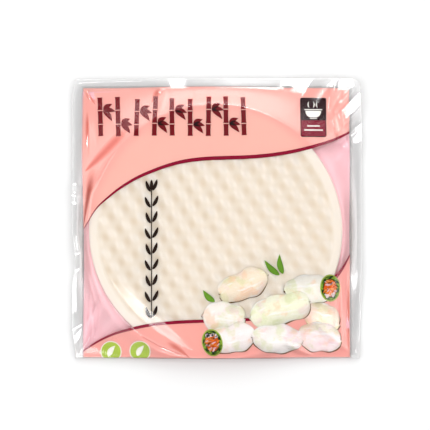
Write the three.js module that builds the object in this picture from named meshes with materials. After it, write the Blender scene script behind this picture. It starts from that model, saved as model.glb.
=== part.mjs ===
// A sealed flat bag of round rice paper wrappers, lying on its back: one closed solid, in millimetres, +Z up.
//
// A round stack lies on the bag's back film. The front film covers it as a flat round table, falls from the
// stack's rim to the thin sealed margins at the left, the right and the top, and folds round the stack at the
// bottom, where the end of the bag is tucked under. The surface is one net of columns and rows, like a globe:
// each column runs from the middle of the front, over the rim and the margin, and back to the middle of the
// underside. The origin is the middle of the bag's outline, on the surface that it lies on.
import * as THREE from "three";

// ---- driving dimensions ----
const BAG = { width: 252.8, length: 244, film: 0.4 }; // film: both layers of a sealed margin
const STACK = { radius: 110.2, height: 13.2, x: -1.1, y: -11.1 }; // with the film that covers it
const SEAL = { left: 4, right: 4, top: 8, bottom: 0 }; // widths of the margins that lie flat
const CORNER = { topLeft: 6, topRight: 11 }; // radii of the outline; the folded bottom corners are square

// The bottom fold: how far its wall swells past its two bends, how the front bend drops away from the stack,
// how high the lower bend lies at its middle and how much higher at the corners, and the length of a margin
// that the fold holds down.
const FOLD = { bulge: 0.3, drop: 22, dropPower: 1.2, under: 0.4, cornerRise: 0.8, hold: 20 };

// The margins: their mean and lowest height above the table, two long waves, and the curl of the top right corner.
const MARGIN = { height: 2.8, lowest: 1.3 };
const WAVE_X = { height: 0.7, length: 31, shift: 0.6 };
const WAVE_Y = { height: 0.6, length: 27, shift: 1.9 };
const CURL = { height: 3.2, reach: 46 };

// The film between rim and margin: it sags more where the gap is wide, and the back film lifts late.
const DRAPE_GAP = 34;
const BACK_LIFT_POWER = 1.6;

// Where the outline is drawn in: side, middle along that side, half length, depth.
const PINCHES = [
  { side: "left", at: -37, reach: 27, depth: 3.1 },
  { side: "left", at: -122, reach: 32, depth: 3.0 },
  { side: "left", at: 122, reach: 18, depth: 2.6 },
  { side: "right", at: -122, reach: 74, depth: 2.2 },
  { side: "right", at: 116, reach: 36, depth: 1.6 },
  { side: "top", at: -126, reach: 40, depth: 0.9 },
];
const PINCH_POWER = 6; // how fast a pinch fades inwards

// Sharp kinks that run across a margin: side, middle along that side, half length, height.
const KINKS = [
  { side: "left", at: 22, reach: 9, height: 1.7 },
  { side: "left", at: -30, reach: 15, height: 2.3 },
  { side: "left", at: -97, reach: 12, height: 1.3 },
  { side: "right", at: 98, reach: 13, height: 2.4 },
  { side: "right", at: 68, reach: 19, height: 2.0 },
  { side: "right", at: -46, reach: 26, height: 1.0 },
  { side: "top", at: 84, reach: 27, height: 2.2 },
  { side: "top", at: -44, reach: 16, height: 1.1 },
];

// Creases of the front film: a tent with straight flanks over a lens-shaped plan, from one end to the other.
const CREASES = [
  { from: [-93, -47], to: [-20, -113], halfWidth: 8.0, height: 1.7 }, // across the stack's lower left rim
  { from: [-66, -102], to: [-26, -119], halfWidth: 5.5, height: -2.2 }, // hollow beside it
  { from: [-76, 66], to: [-112, 22], halfWidth: 7.0, height: -2.4 }, // where the film falls at the upper left
  { from: [-112, 30], to: [-116, -14], halfWidth: 4.0, height: -1.8 },
  { from: [-43, 112], to: [-50, 92], halfWidth: 4.0, height: 1.2 },
  { from: [96, 92], to: [117, 56], halfWidth: 4.5, height: 1.9 }, // fans out to the upper right corner
  { from: [106, 110], to: [74, 88], halfWidth: 5.0, height: 1.6 },
  { from: [-120, -116], to: [-99, -62], halfWidth: 5.0, height: 1.6 },
  { from: [86, -92], to: [116, -116], halfWidth: 6.0, height: 1.8 },
  { from: [58, -108], to: [84, -119], halfWidth: 4.5, height: 1.5 },
];
const CREASE_FADE = 5; // a crease fades out over this distance from the outline
const LENS_POWER = 0.8; // how blunt a crease's two ends are

// ---- net ----
const COLUMNS = { bottom: 30, right: 28, top: 30, left: 28 };
const TABLE_RINGS = [0.22, 0.48, 0.7, 0.86, 0.955]; // shares of the stack's radius
const SLOPE_ROWS = [0, 0.07, 0.16, 0.28, 0.42, 0.57, 0.72, 0.86, 1]; // shares of the way from rim to outline
const MOST_SEAL = 0.6; // largest share of that way that a margin takes
const TINY = 1e-6;

const halfWidth = BAG.width / 2;
const halfLength = BAG.length / 2;
const foldLine = -halfLength + FOLD.bulge;
const corner = new THREE.Vector2(halfWidth, halfLength);

const clamp = THREE.MathUtils.clamp;
const lerp = THREE.MathUtils.lerp;

/** Height of a round bump of unit height at distance d from its middle, nil past reach. */
function bump(d, reach) {
  const share = clamp(Math.abs(d) / reach, 0, 1);
  return (1 + Math.cos(Math.PI * share)) / 2;
}

/** Height of a tent of unit height at distance d from its ridge, nil past reach. */
function tent(d, reach) {
  return Math.max(0, 1 - Math.abs(d) / reach);
}

/** Height of a long wave at a place along its axis. */
function wave({ height, length, shift }, at) {
  return height * Math.sin(at / length + shift);
}

/** Sum over those shapes of one side of the bag. */
function alongSide(shapes, side, at, value) {
  return shapes
    .filter((shape) => shape.side === side)
    .reduce((sum, shape) => sum + value(shape, at - shape.at), 0);
}

/** The outline's point number i of n along one side, counter-clockwise from the lower left corner. */
function sidePoint(side, i, n) {
  const share = i / n;
  const across = lerp(-halfWidth, halfWidth, share);
  const up = lerp(foldLine, halfLength, share);
  if (side === "bottom") return new THREE.Vector2(across, foldLine);
  if (side === "right") return new THREE.Vector2(halfWidth, up);
  if (side === "top") return new THREE.Vector2(-across, halfLength);
  return new THREE.Vector2(-halfWidth, foldLine + halfLength - up);
}

/** Rounds one top corner of the outline: direction is -1 for the left one and 1 for the right one. */
function roundCorner(p, direction, radius) {
  const centre = new THREE.Vector2(direction * (halfWidth - radius), halfLength - radius);
  const out = p.clone().sub(centre);
  if (out.x * direction <= 0 || out.y <= 0) return p;
  return centre.add(out.setLength(radius));
}

/** Draws the outline in by the pinches. */
function pinched(p) {
  const depth = (shape, d) => shape.depth * bump(d, shape.reach);
  const left = alongSide(PINCHES, "left", p.y, depth);
  const right = alongSide(PINCHES, "right", p.y, depth);
  const top = alongSide(PINCHES, "top", p.x, depth);
  const toLeft = clamp(-p.x / halfWidth, 0, 1) ** PINCH_POWER;
  const toRight = clamp(p.x / halfWidth, 0, 1) ** PINCH_POWER;
  const toTop = clamp(p.y / halfLength, 0, 1) ** PINCH_POWER;
  return new THREE.Vector2(p.x + left * toLeft - right * toRight, p.y - top * toTop);
}

/** How high a sealed margin lies at a point of the outline. */
function marginHeight(p, side) {
  const waves = wave(WAVE_X, p.x) + wave(WAVE_Y, p.y);
  const curl = CURL.height * bump(p.distanceTo(corner), CURL.reach);
  const lift = (shape, d) => shape.height * tent(d, shape.reach);
  const kinks = alongSide(KINKS, side, side === "top" ? p.x : p.y, lift);
  return Math.max(MARGIN.lowest, MARGIN.height + waves + curl + kinks);
}

/** Height of the front film's bend along the bottom fold: the stack holds it up where it is near. */
function foldHeight(gap) {
  const rise = STACK.height - FOLD.bulge - MARGIN.height;
  return MARGIN.height + rise * Math.exp(-((gap / FOLD.drop) ** FOLD.dropPower));
}

/** One column of the net: its points on the stack's rim and on the outline, and what the film does between. */
function makeColumn(side, i, n) {
  let edge = pinched(sidePoint(side, i, n));
  edge = roundCorner(edge, -1, CORNER.topLeft);
  edge = roundCorner(edge, 1, CORNER.topRight);
  const middle = new THREE.Vector2(STACK.x, STACK.y);
  const away = edge.clone().sub(middle);
  const rim = middle.clone().add(away.clone().setLength(STACK.radius));
  const gap = away.length() - STACK.radius;
  const nearFold = side === "bottom" ? 1 : tent(edge.y - foldLine, FOLD.hold);
  const marginSide = edge.x < 0 ? "left" : "right";
  const margin = marginHeight(edge, side === "bottom" ? marginSide : side);
  const front = lerp(margin, foldHeight(gap), nearFold);
  const underFold = FOLD.under + FOLD.cornerRise * (edge.x / halfWidth) ** 2;
  const back = lerp(margin - BAG.film, underFold, nearFold);
  const seal = Math.min(SEAL[side] * (1 - nearFold), gap * MOST_SEAL);
  return { edge, middle, rim, gap, front, back, seal, nearFold };
}

/** Height that the creases add to the front film at a point. */
function creaseHeight(p) {
  let sum = 0;
  for (const { from, to, halfWidth: reach, height } of CREASES) {
    const start = new THREE.Vector2(...from);
    const line = new THREE.Vector2(...to).sub(start);
    const length = line.length();
    line.normalize();
    const rel = p.clone().sub(start);
    const along = rel.dot(line) / length;
    if (along <= 0 || along >= 1) continue;
    const lens = Math.sin(Math.PI * along) ** LENS_POWER;
    sum += height * lens * tent(rel.cross(line), Math.max(reach * lens, TINY));
  }
  return sum;
}

/** A point of the film between the rim (share 0) and the outline (share 1). */
function slopePoint(column, share, face) {
  const p = column.rim.clone().lerp(column.edge, share);
  const sealStart = 1 - column.seal / Math.max(column.gap, TINY);
  const down = clamp(share / sealStart, 0, 1);
  const back = column.back * down ** BACK_LIFT_POWER;
  if (face === "back") return new THREE.Vector3(p.x, p.y, back);
  const drape = (1 - down) ** (1 + column.gap / DRAPE_GAP);
  const smooth = lerp(column.front, STACK.height, drape);
  const fade = clamp(((1 - share) * column.gap) / CREASE_FADE, 0, 1);
  const front = smooth + creaseHeight(p) * fade;
  return new THREE.Vector3(p.x, p.y, Math.max(back + BAG.film, front));
}

/** A point of the film over or under the stack, at a share of its radius. */
function tablePoint(column, share, face) {
  const p = column.middle.clone().lerp(column.rim, share);
  if (face === "back") return new THREE.Vector3(p.x, p.y, 0);
  return new THREE.Vector3(p.x, p.y, STACK.height + Math.max(0, creaseHeight(p)));
}

/** The point between the outline's two edges, which swells where they are far apart. */
function wallPoint(column) {
  const swell = (FOLD.bulge * column.nearFold * (column.front - column.back)) / STACK.height;
  return new THREE.Vector3(column.edge.x, column.edge.y - swell, (column.front + column.back) / 2);
}

/** The bag as a closed net, joined from row to row, with a fan at each end. */
function bagGeometry() {
  const columns = Object.entries(COLUMNS).flatMap(([side, n]) =>
    Array.from({ length: n }, (_, i) => makeColumn(side, i, n)),
  );
  const rings = TABLE_RINGS.map((share) => (face) => (column) => tablePoint(column, share, face));
  const slopes = SLOPE_ROWS.map((share) => (face) => (column) => slopePoint(column, share, face));
  const outward = [...rings, ...slopes];
  const rows = [
    ...outward.map((row) => row("front")),
    wallPoint,
    ...outward.map((row) => row("back")).reverse(),
  ];
  const points = rows.flatMap((row) => columns.map(row));
  const top = points.push(new THREE.Vector3(STACK.x, STACK.y, STACK.height)) - 1;
  const bottom = points.push(new THREE.Vector3(STACK.x, STACK.y, 0)) - 1;

  const n = columns.length;
  const last = (rows.length - 1) * n;
  const index = [];
  for (let k = 0; k < n; k++) {
    const next = (k + 1) % n;
    index.push(top, k, next);
    index.push(bottom, last + next, last + k);
    for (let row = 0; row < last; row += n) {
      index.push(row + k, row + n + k, row + n + next);
      index.push(row + k, row + n + next, row + next);
    }
  }
  const geometry = new THREE.BufferGeometry().setFromPoints(points);
  geometry.setIndex(index);
  geometry.computeVertexNormals();
  return geometry;
}

/** The sealed bag with what it holds. */
function makeBag() {
  const film = new THREE.MeshStandardMaterial({ color: 0xf7b9ae, roughness: 0.28, metalness: 0 });
  const mesh = new THREE.Mesh(bagGeometry(), film);
  mesh.name = "bag";
  return mesh;
}

const pack = new THREE.Group();
pack.add(makeBag());

export default pack;
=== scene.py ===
"""A sealed clear bag of round rice paper wrappers, lying on its back.

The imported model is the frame, and its one node is dressed as what it stands for: clear film, the print inside
the film, and the stack of papers. Lengths of the pack are in millimetres until a mesh is written in metres.
"""

import logging
import math
from dataclasses import dataclass, field
from enum import Enum
from functools import cache
from typing import Callable

import bpy
import numpy as np
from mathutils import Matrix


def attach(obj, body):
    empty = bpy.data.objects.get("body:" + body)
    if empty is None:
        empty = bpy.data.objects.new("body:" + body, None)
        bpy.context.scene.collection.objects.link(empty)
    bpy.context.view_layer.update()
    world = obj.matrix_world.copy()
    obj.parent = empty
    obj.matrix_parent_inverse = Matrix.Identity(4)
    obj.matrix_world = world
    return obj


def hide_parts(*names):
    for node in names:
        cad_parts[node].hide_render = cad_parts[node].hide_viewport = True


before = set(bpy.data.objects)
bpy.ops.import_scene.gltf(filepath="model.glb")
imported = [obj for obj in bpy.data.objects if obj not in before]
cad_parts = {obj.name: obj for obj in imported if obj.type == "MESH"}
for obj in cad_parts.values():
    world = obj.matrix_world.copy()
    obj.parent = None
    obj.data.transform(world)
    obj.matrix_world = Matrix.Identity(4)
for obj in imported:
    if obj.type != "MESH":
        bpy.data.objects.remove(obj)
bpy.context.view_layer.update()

MM = 0.001
BODY = "root"
NODE = "bag"
TINY = 1e-6
PAPER_MIDDLE = (-1.1, -10.9)
PAPER_RADIUS = 109.6
WHITE = (1.0, 1.0, 1.0, 1.0)

# where the unprinted margins start, and how far they take to show in full
SIDE_MARGIN = 116.2
TOP_MARGIN = 114.2
MARGIN_FADE = 2.0
# where the print's painted shade beside the papers starts and is full, from their rim, as the film slopes down
# there
SLOPE_SHADE_FADE = (-9.0, 2.0)
# how matt ink is under the film, and how much it shines
INK_ROUGHNESS = 0.5
INK_SHINE = 0.04
# fillings that show through a roll: shift of the pattern, where it starts and is full, and colour
FILLING_PATCHES = (
    (0.0, 0.5, 0.62, (0.62, 0.7, 0.24, 1)),
    (3.7, 0.53, 0.64, (0.98, 0.5, 0.24, 1)),
    (8.1, 0.52, 0.66, (0.9, 0.6, 0.72, 1)),
)

log = logging.getLogger("rice_paper_pack")

Point = tuple[float, float]
Colour = tuple[float, float, float]
Plan = Callable[[np.ndarray, np.ndarray], tuple[np.ndarray, np.ndarray]]


# ---- colours ----

def linear(red: int, green: int, blue: int) -> Colour:
    """A colour given on the 0 to 255 screen scale, as linear light.

    Args:
        red: Red on the screen scale.
        green: Green on the screen scale.
        blue: Blue on the screen scale.

    Returns:
        The three channels as linear values from 0 to 1.
    """
    shares = [channel / 255 for channel in (red, green, blue)]
    return tuple(s / 12.92 if s <= 0.04045 else ((s + 0.055) / 1.055) ** 2.4 for s in shares)


# ---- mesh helpers ----

def deselect_all() -> None:
    """Leaves nothing selected."""
    bpy.ops.object.select_all(action="DESELECT")


def select_only(objects: list[bpy.types.Object]) -> None:
    """Selects these objects alone, the first of them active.

    Args:
        objects: The objects to select.
    """
    deselect_all()
    for piece in objects:
        piece.select_set(True)
    bpy.context.view_layer.objects.active = objects[0]


def added(name: str) -> bpy.types.Object:
    """Names the object that was just added.

    Args:
        name: Its name.

    Returns:
        The object.
    """
    piece = bpy.context.view_layer.objects.active
    piece.name = name
    return piece


def points_of(piece: bpy.types.Object) -> np.ndarray:
    """The piece's vertices.

    Args:
        piece: A mesh object.

    Returns:
        An array of n by 3 in the mesh's own units.
    """
    flat = np.zeros(len(piece.data.vertices) * 3, np.float32)
    piece.data.vertices.foreach_get("co", flat)
    return flat.reshape(-1, 3).astype(float)


def set_points(piece: bpy.types.Object, points_mm: np.ndarray) -> None:
    """Moves the piece's vertices.

    Args:
        piece: A mesh object.
        points_mm: The new places, n by 3, in millimetres.
    """
    piece.data.vertices.foreach_set("co", (points_mm * MM).astype(np.float32).ravel())
    piece.data.update()


def thicken(piece: bpy.types.Object, thickness: float) -> None:
    """Gives a sheet its thickness, behind its faces, and closes it.

    Args:
        piece: A mesh object that is an open sheet.
        thickness: Thickness in millimetres.
    """
    select_only([piece])
    shell = piece.modifiers.new("thickness", "SOLIDIFY")
    shell.thickness = thickness * MM
    shell.offset = -1
    bpy.ops.object.modifier_apply(modifier=shell.name)


def join(parts: list[bpy.types.Object], name: str) -> bpy.types.Object:
    """Joins meshes into one piece.

    Args:
        parts: The meshes, which are used up.
        name: The joined piece's name.

    Returns:
        The joined piece.
    """
    select_only(parts)
    if len(parts) > 1:
        bpy.ops.object.join()
    return added(name)


def paint(piece: bpy.types.Object, name: str, colours: np.ndarray) -> None:
    """Gives each of a piece's vertices a colour.

    Args:
        piece: A mesh object.
        name: The colour attribute's name.
        colours: One colour of four channels a vertex.
    """
    attribute = piece.data.color_attributes.new(name=name, type="FLOAT_COLOR", domain="POINT")
    attribute.data.foreach_set("color", colours.ravel().astype(np.float32))


def flat_grid(name: str, columns: int, rows: int) -> tuple[bpy.types.Object, np.ndarray, np.ndarray]:
    """A square grid to be shaped.

    Args:
        name: The object's name.
        columns: Cells along u.
        rows: Cells along v.

    Returns:
        The grid, and each vertex's u and v from 0 to 1.
    """
    deselect_all()
    bpy.ops.mesh.primitive_grid_add(x_subdivisions=columns, y_subdivisions=rows, size=2)
    grid = added(name)
    places = points_of(grid)
    return grid, (places[:, 0] + 1) / 2, (places[:, 1] + 1) / 2


def dress(piece: bpy.types.Object, finish: "Finish") -> None:
    """Gives a piece its finish and ties it to the pack.

    Args:
        piece: The finished mesh.
        finish: Its finish.
    """
    piece.data.materials.clear()
    piece.data.materials.append(finish.material())
    select_only([piece])
    bpy.ops.object.shade_smooth()
    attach(piece, BODY)
    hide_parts(NODE)
    log.info("%s: %d faces", piece.name, len(piece.data.polygons))


# ---- curves and folds ----

@dataclass(frozen=True)
class Curve:
    """A smooth height over a straight base.

    Attributes:
        points: The points it goes through, in order of x.
    """

    points: tuple[Point, ...]

    def at(self, x: np.ndarray) -> np.ndarray:
        """The curve's height.

        Args:
            x: Places along the base.

        Returns:
            The heights, by cubic pieces with the mean slopes of their neighbours.
        """
        xs, ys = (np.array(column, float) for column in zip(*self.points))
        slopes = np.gradient(ys, xs)
        i = np.clip(np.searchsorted(xs, x) - 1, 0, len(xs) - 2)
        span = xs[i + 1] - xs[i]
        t = np.clip((x - xs[i]) / span, 0, 1)
        start = ys[i] * (1 + 2 * t) * (1 - t) ** 2 + slopes[i] * span * t * (1 - t) ** 2
        end = ys[i + 1] * (3 - 2 * t) * t**2 + slopes[i + 1] * span * (t - 1) * t**2
        return start + end


def bump(distance: np.ndarray, reach: float) -> np.ndarray:
    """A round bump of unit height, nil past its reach.

    Args:
        distance: Distances from its middle.
        reach: Half its length.

    Returns:
        Its heights.
    """
    return (1 + np.cos(np.pi * np.clip(np.abs(distance) / reach, 0, 1))) / 2


def tent(distance: np.ndarray, reach: np.ndarray | float) -> np.ndarray:
    """A tent of unit height with straight flanks, nil past its reach.

    Args:
        distance: Distances from its ridge.
        reach: Half its width.

    Returns:
        Its heights.
    """
    return np.maximum(0, 1 - np.abs(distance) / reach)


def soft_tent(distance: np.ndarray, reach: np.ndarray | float, blur: float) -> np.ndarray:
    """A tent whose ridge and feet are rounded.

    Args:
        distance: Distances from its ridge.
        reach: Half its width.
        blur: Half the length of each rounding.

    Returns:
        Its heights.
    """
    def area(x: np.ndarray) -> np.ndarray:
        """Area under the tent up to x."""
        x = np.clip(x, -reach, reach)
        return np.where(x < 0, (x + reach) ** 2, 2 * reach**2 - (reach - x) ** 2) / (2 * reach)
    return (area(distance + blur) - area(distance - blur)) / (2 * blur)


@dataclass(frozen=True)
class Fold:
    """A fold of the film: a tent over a lens-shaped plan, from one end to the other.

    Attributes:
        start: One end of its ridge.
        end: The other end.
        half_width: Half its width at its middle.
        rise: Its height there, below nil for a dip.
        lens_power: How pointed its ends are.
        blur: Half the length over which its ridge and feet are rounded.
    """

    start: Point
    end: Point
    half_width: float
    rise: float
    lens_power: float = 0.8
    blur: float = 0.9

    def height(self, x: np.ndarray, y: np.ndarray) -> np.ndarray:
        """What the fold adds to the film.

        Args:
            x: Places across the bag.
            y: Places along the bag.

        Returns:
            The heights.
        """
        run = np.subtract(self.end, self.start)
        length = np.hypot(*run)
        ux, uy = run / length
        rx, ry = x - self.start[0], y - self.start[1]
        along = np.clip((rx * ux + ry * uy) / length, 0, 1)
        lens = np.sin(np.pi * along) ** self.lens_power
        aside = rx * uy - ry * ux
        return self.rise * lens * soft_tent(aside, np.maximum(self.half_width * lens, TINY), self.blur)


def soft_kink(distance: np.ndarray, reach: float) -> np.ndarray:
    """A kink of the margin: a tent rounded over a few millimetres."""
    return soft_tent(distance, reach, blur=1.6)


@dataclass(frozen=True)
class EdgeShape:
    """Something that repeats along one side of the bag: a pinch of the outline or a kink of the margin.

    Attributes:
        side: The side it is on.
        at: Its middle along that side.
        reach: Half its length.
        size: How far it goes in, or up.
    """

    side: int
    at: float
    reach: float
    size: float


BOTTOM, RIGHT, TOP, LEFT = range(4)

PINCHES = (
    EdgeShape(LEFT, -37, 27, 3.1),
    EdgeShape(LEFT, -122, 32, 3.0),
    EdgeShape(LEFT, 122, 18, 2.6),
    EdgeShape(RIGHT, -122, 74, 2.2),
    EdgeShape(RIGHT, 116, 36, 1.6),
    EdgeShape(TOP, -126, 40, 0.9),
)
KINKS = (
    EdgeShape(LEFT, 22, 9, 1.7),
    EdgeShape(LEFT, -30, 15, 2.3),
    EdgeShape(LEFT, -97, 12, 1.3),
    EdgeShape(RIGHT, 98, 13, 2.4),
    EdgeShape(RIGHT, 68, 19, 2.0),
    EdgeShape(RIGHT, -46, 26, 1.0),
    EdgeShape(TOP, 84, 27, 2.2),
    EdgeShape(TOP, -44, 16, 1.1),
)
MAIN_FOLDS = (
    Fold((-94, -46), (-19, -113.5), 9.5, 1.05),
    Fold((-66, -102), (-26, -119), 5.5, -2.2),
    Fold((-76, 66), (-112, 22), 7.0, -2.4),
    Fold((-112, 30), (-116, -14), 4.0, -1.8),
    Fold((-43, 112), (-50, 92), 4.0, 1.2),
    Fold((99, 92), (117, 56), 4.5, 1.7),
    Fold((109, 112), (97, 90), 4.5, 1.4),
    Fold((-120, -116), (-99, -62), 5.0, 1.6),
    Fold((86, -92), (116, -116), 6.0, 1.8),
    Fold((58, -108), (84, -119), 4.5, 1.5),
)
FINE_FOLDS = (
    # fan of the upper right corner
    Fold((103, 60), (98, 114), 13.0, -1.4),
    Fold((98, 86), (121, 117), 3.0, 1.0),
    Fold((98, 68), (124, 96), 2.6, 0.8),
    Fold((99, 100), (104, 121), 2.5, 0.7),
    Fold((100, 58), (124, 78), 2.4, -0.8),
    Fold((59, 110), (64, 121), 3.0, -0.8),
    Fold((102, 100), (108, 60), 2.0, 0.9),
    Fold((108, 98), (113, 64), 2.0, 0.8),
    Fold((98, 98), (101, 70), 2.0, 0.6),
    # upper left corner and top margin
    Fold((-112, 112), (-104, 98), 2.5, -1.2),
    Fold((-113, 92), (-111, 50), 2.5, -0.9),
    Fold((-108, 88), (-104, 60), 3.0, 0.6),
    Fold((-46, 114), (-52, 104), 2.0, -0.8),
    Fold((-20, 113), (-22, 101), 2.0, -0.6),
    # along the left margin
    Fold((-114, -40), (-104, -78), 2.2, 1.0),
    Fold((-105, -72), (-108, -108), 2.2, 1.1),
    Fold((-110, -60), (-112, -100), 1.8, 0.7),
    # along the right margin
    Fold((108, -48), (109, -112), 2.6, 1.0),
    Fold((112.5, -40), (113.5, -118), 1.6, -0.8),
    Fold((104, -60), (103, -100), 2.5, 0.5),
    # down to the bottom fold
    Fold((-6, -104), (-7, -121), 3.0, -0.7),
    Fold((13, -106), (14, -121), 2.5, -0.5),
)


@dataclass
class BagForm:
    """The bag's outer shape, the same as the CAD solid's, with finer folds and a rounded bottom fold.

    It is one net of straight columns, from the middle of the front over rim, margin and outline and back to
    the middle of the underside. Any point of the front film is read back from that net.
    """

    # the bag and the stack in it
    width: float = 252.8
    length: float = 244.0
    film: float = 0.4
    radius: float = 110.2
    height: float = 13.2
    middle: Point = (-1.1, -11.1)
    # its outline: flat seals, and round corners at the top
    seals: tuple[float, ...] = (0.0, 4.0, 8.0, 4.0)
    corner_radii: tuple[float, float] = (6.0, 11.0)
    # the bottom fold
    fold_bulge: float = 0.3
    fold_drop: float = 22.0
    fold_drop_power: float = 1.2
    fold_under: float = 0.4
    fold_corner_rise: float = 0.8
    fold_hold: float = 20.0
    # how high the outline stands, and the corner that curls up
    margin: float = 2.8
    lowest_margin: float = 1.3
    curl_height: float = 3.2
    curl_reach: float = 46.0
    # how the film comes down from the stack
    drape_gap: float = 34.0
    back_lift_power: float = 1.6
    pinch_power: float = 6.0
    crease_fade: float = 5.0
    most_seal: float = 0.6
    rim_rounding: float = 4.0
    headroom: float = 1.03
    free_rise: float = 0.85
    # rows and columns of the net
    columns: int = 720
    table_rows: int = 44
    slope_rows: int = 66
    wall_rows: int = 4
    back_slope_rows: int = 12
    back_table_rows: int = 12
    table_power: float = 1.6
    # the rounding of the bottom fold, by the gap to the stack
    bend_radii: Point = (1.0, 2.4)
    bend_gap: float = 10.0
    under_bend: float = 0.3
    bend_share: float = 0.42
    # waves of the margin: size, run over a turn, and phase
    side_wave: tuple[float, float, float] = (0.7, 31, 0.6)
    end_wave: tuple[float, float, float] = (0.6, 27, 1.9)
    # worked out from these
    fold_line: float = field(init=False)
    side: np.ndarray = field(init=False)
    edge_x: np.ndarray = field(init=False)
    edge_y: np.ndarray = field(init=False)
    gap: np.ndarray = field(init=False)
    angle: np.ndarray = field(init=False)
    near: np.ndarray = field(init=False)
    front_edge: np.ndarray = field(init=False)
    back_edge: np.ndarray = field(init=False)
    seal: np.ndarray = field(init=False)
    bend: np.ndarray = field(init=False)
    front_x: np.ndarray = field(init=False)
    front_y: np.ndarray = field(init=False)
    front_z: np.ndarray = field(init=False)

    def __post_init__(self) -> None:
        """Works out the columns and the height of the front film."""
        self.fold_line = -self.length / 2 + self.fold_bulge
        self._make_outline()
        self._make_columns()
        self._make_front()

    def _side_shapes(self, shapes: tuple[EdgeShape, ...], side: int, at: np.ndarray,
                     shape: Callable[[np.ndarray, float], np.ndarray]) -> np.ndarray:
        """Sum of the shapes of one side.

        Args:
            shapes: Pinches or kinks.
            side: The side they are on.
            at: Places along that side.
            shape: The form of one of them over its distance and reach.

        Returns:
            Their summed heights.
        """
        return sum(s.size * shape(at - s.at, s.reach) for s in shapes if s.side == side)

    def _make_outline(self) -> None:
        """Sets the outline's points, counter-clockwise from the lower left corner."""
        half, top = self.width / 2, self.length / 2
        each = self.columns // 4
        share = np.arange(each) / each
        across = -half + self.width * share
        up = self.fold_line + (top - self.fold_line) * share
        x = np.concatenate([across, np.full(each, half), -across, np.full(each, -half)])
        y = np.concatenate([np.full(each, self.fold_line), up, np.full(each, top), up[0] + top - up])
        self.side = np.repeat(np.arange(4), each)
        left, right, down = (
            self._side_shapes(PINCHES, side, at, bump) * np.clip(near, 0, 1) ** self.pinch_power
            for side, at, near in ((LEFT, y, -x / half), (RIGHT, y, x / half), (TOP, x, y / top))
        )
        x, y = x + left - right, y - down
        for direction, radius in zip((-1, 1), self.corner_radii):
            centre_x, centre_y = direction * (half - radius), top - radius
            out_x, out_y = x - centre_x, y - centre_y
            in_corner = (out_x * direction > 0) & (out_y > 0)
            scale = np.minimum(1, radius / np.maximum(np.hypot(out_x, out_y), TINY))
            x = np.where(in_corner, centre_x + out_x * scale, x)
            y = np.where(in_corner, centre_y + out_y * scale, y)
        self.edge_x, self.edge_y = x, y

    def _make_columns(self) -> None:
        """Sets what the film does along each column: its gap, its heights at the outline and its seal."""
        x, y = self.edge_x, self.edge_y
        half, top = self.width / 2, self.length / 2
        self.gap = np.hypot(x - self.middle[0], y - self.middle[1]) - self.radius
        self.angle = np.unwrap(np.arctan2(y - self.middle[1], x - self.middle[0]))
        near = np.where(self.side == BOTTOM, 1, tent(y - self.fold_line, self.fold_hold))
        margin_side = np.where(self.side == BOTTOM, np.where(x < 0, LEFT, RIGHT), self.side)
        kinks = sum(
            np.where(margin_side == side, self._side_shapes(KINKS, side, at, soft_kink), 0)
            for side, at in ((LEFT, y), (RIGHT, y), (TOP, x))
        )
        waves = sum(size * np.sin(at / run + phase)
                    for at, (size, run, phase) in ((x, self.side_wave), (y, self.end_wave)))
        curl = self.curl_height * bump(np.hypot(x - half, y - top), self.curl_reach)
        margin = np.maximum(self.lowest_margin, self.margin + waves + curl + kinks)
        rise = self.height - self.fold_bulge - self.margin
        fold = self.margin + rise * np.exp(-((self.gap / self.fold_drop) ** self.fold_drop_power))
        under = self.fold_under + self.fold_corner_rise * (x / half) ** 2
        self.front_edge = margin + (fold - margin) * near
        self.back_edge = (margin - self.film) * (1 - near) + under * near
        seals = np.array(self.seals)[self.side]
        self.seal = np.minimum(seals * (1 - near), self.gap * self.most_seal)
        wall = self.front_edge - self.back_edge
        least, most = self.bend_radii
        bend = most - (most - least) * np.exp(-self.gap / self.bend_gap)
        self.bend = np.where(near > 0, np.minimum(bend, self.bend_share * wall), TINY)
        self.near = near

    def _plan(self, table_share: np.ndarray, slope_share: np.ndarray) -> tuple[np.ndarray, np.ndarray]:
        """Plan places of rows of the net.

        Args:
            table_share: For each row, its share of the stack's radius.
            slope_share: For each row, its share of the way from the rim to the outline.

        Returns:
            x and y, rows by columns.
        """
        reach = table_share[:, None] * self.radius + slope_share[:, None] * self.gap[None, :]
        cos, sin = np.cos(self.angle)[None, :], np.sin(self.angle)[None, :]
        return self.middle[0] + reach * cos, self.middle[1] + reach * sin

    def _make_front(self) -> None:
        """Sets the front film's height over the whole net."""
        k = np.arange(self.table_rows + 1) / self.table_rows
        table = np.concatenate([1 - (1 - k) ** self.table_power, np.ones(self.slope_rows)])
        slope = np.concatenate([np.zeros(self.table_rows + 1),
                                np.arange(1, self.slope_rows + 1) / self.slope_rows])
        x, y = self._plan(table, slope)
        folds = sum(fold.height(x, y) for fold in MAIN_FOLDS + FINE_FOLDS)
        share = slope[:, None]
        down = self.to_seal(share, self.gap, self.seal)
        back = self.back_edge * down**self.back_lift_power
        rounding = self.rim_rounding / self.gap
        eased = (np.hypot(down, rounding) - rounding) / (np.hypot(1, rounding) - rounding)
        drape = (1 - eased) ** (1 + self.gap / self.drape_gap)
        smooth = self.front_edge + (self.height - self.front_edge) * drape
        fade = np.clip((1 - share) * self.gap / self.crease_fade, 0, 1)
        z = np.where(share > 0, smooth + folds * fade, self.height + np.maximum(0, folds))
        over = np.maximum(z - self.height, 0)
        spare = self.headroom - self.free_rise
        z = np.where(over > self.free_rise,
                     self.height + self.free_rise + spare * np.tanh((over - self.free_rise) / spare), z)
        from_fold = y - self.fold_line
        short = np.clip(self.bend - from_fold, 0, None)
        z = z - (self.bend - np.sqrt(np.maximum(self.bend**2 - short**2, 0)))
        self.front_x, self.front_y = x, y
        self.front_z = np.maximum(z, back + self.film)

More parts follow.
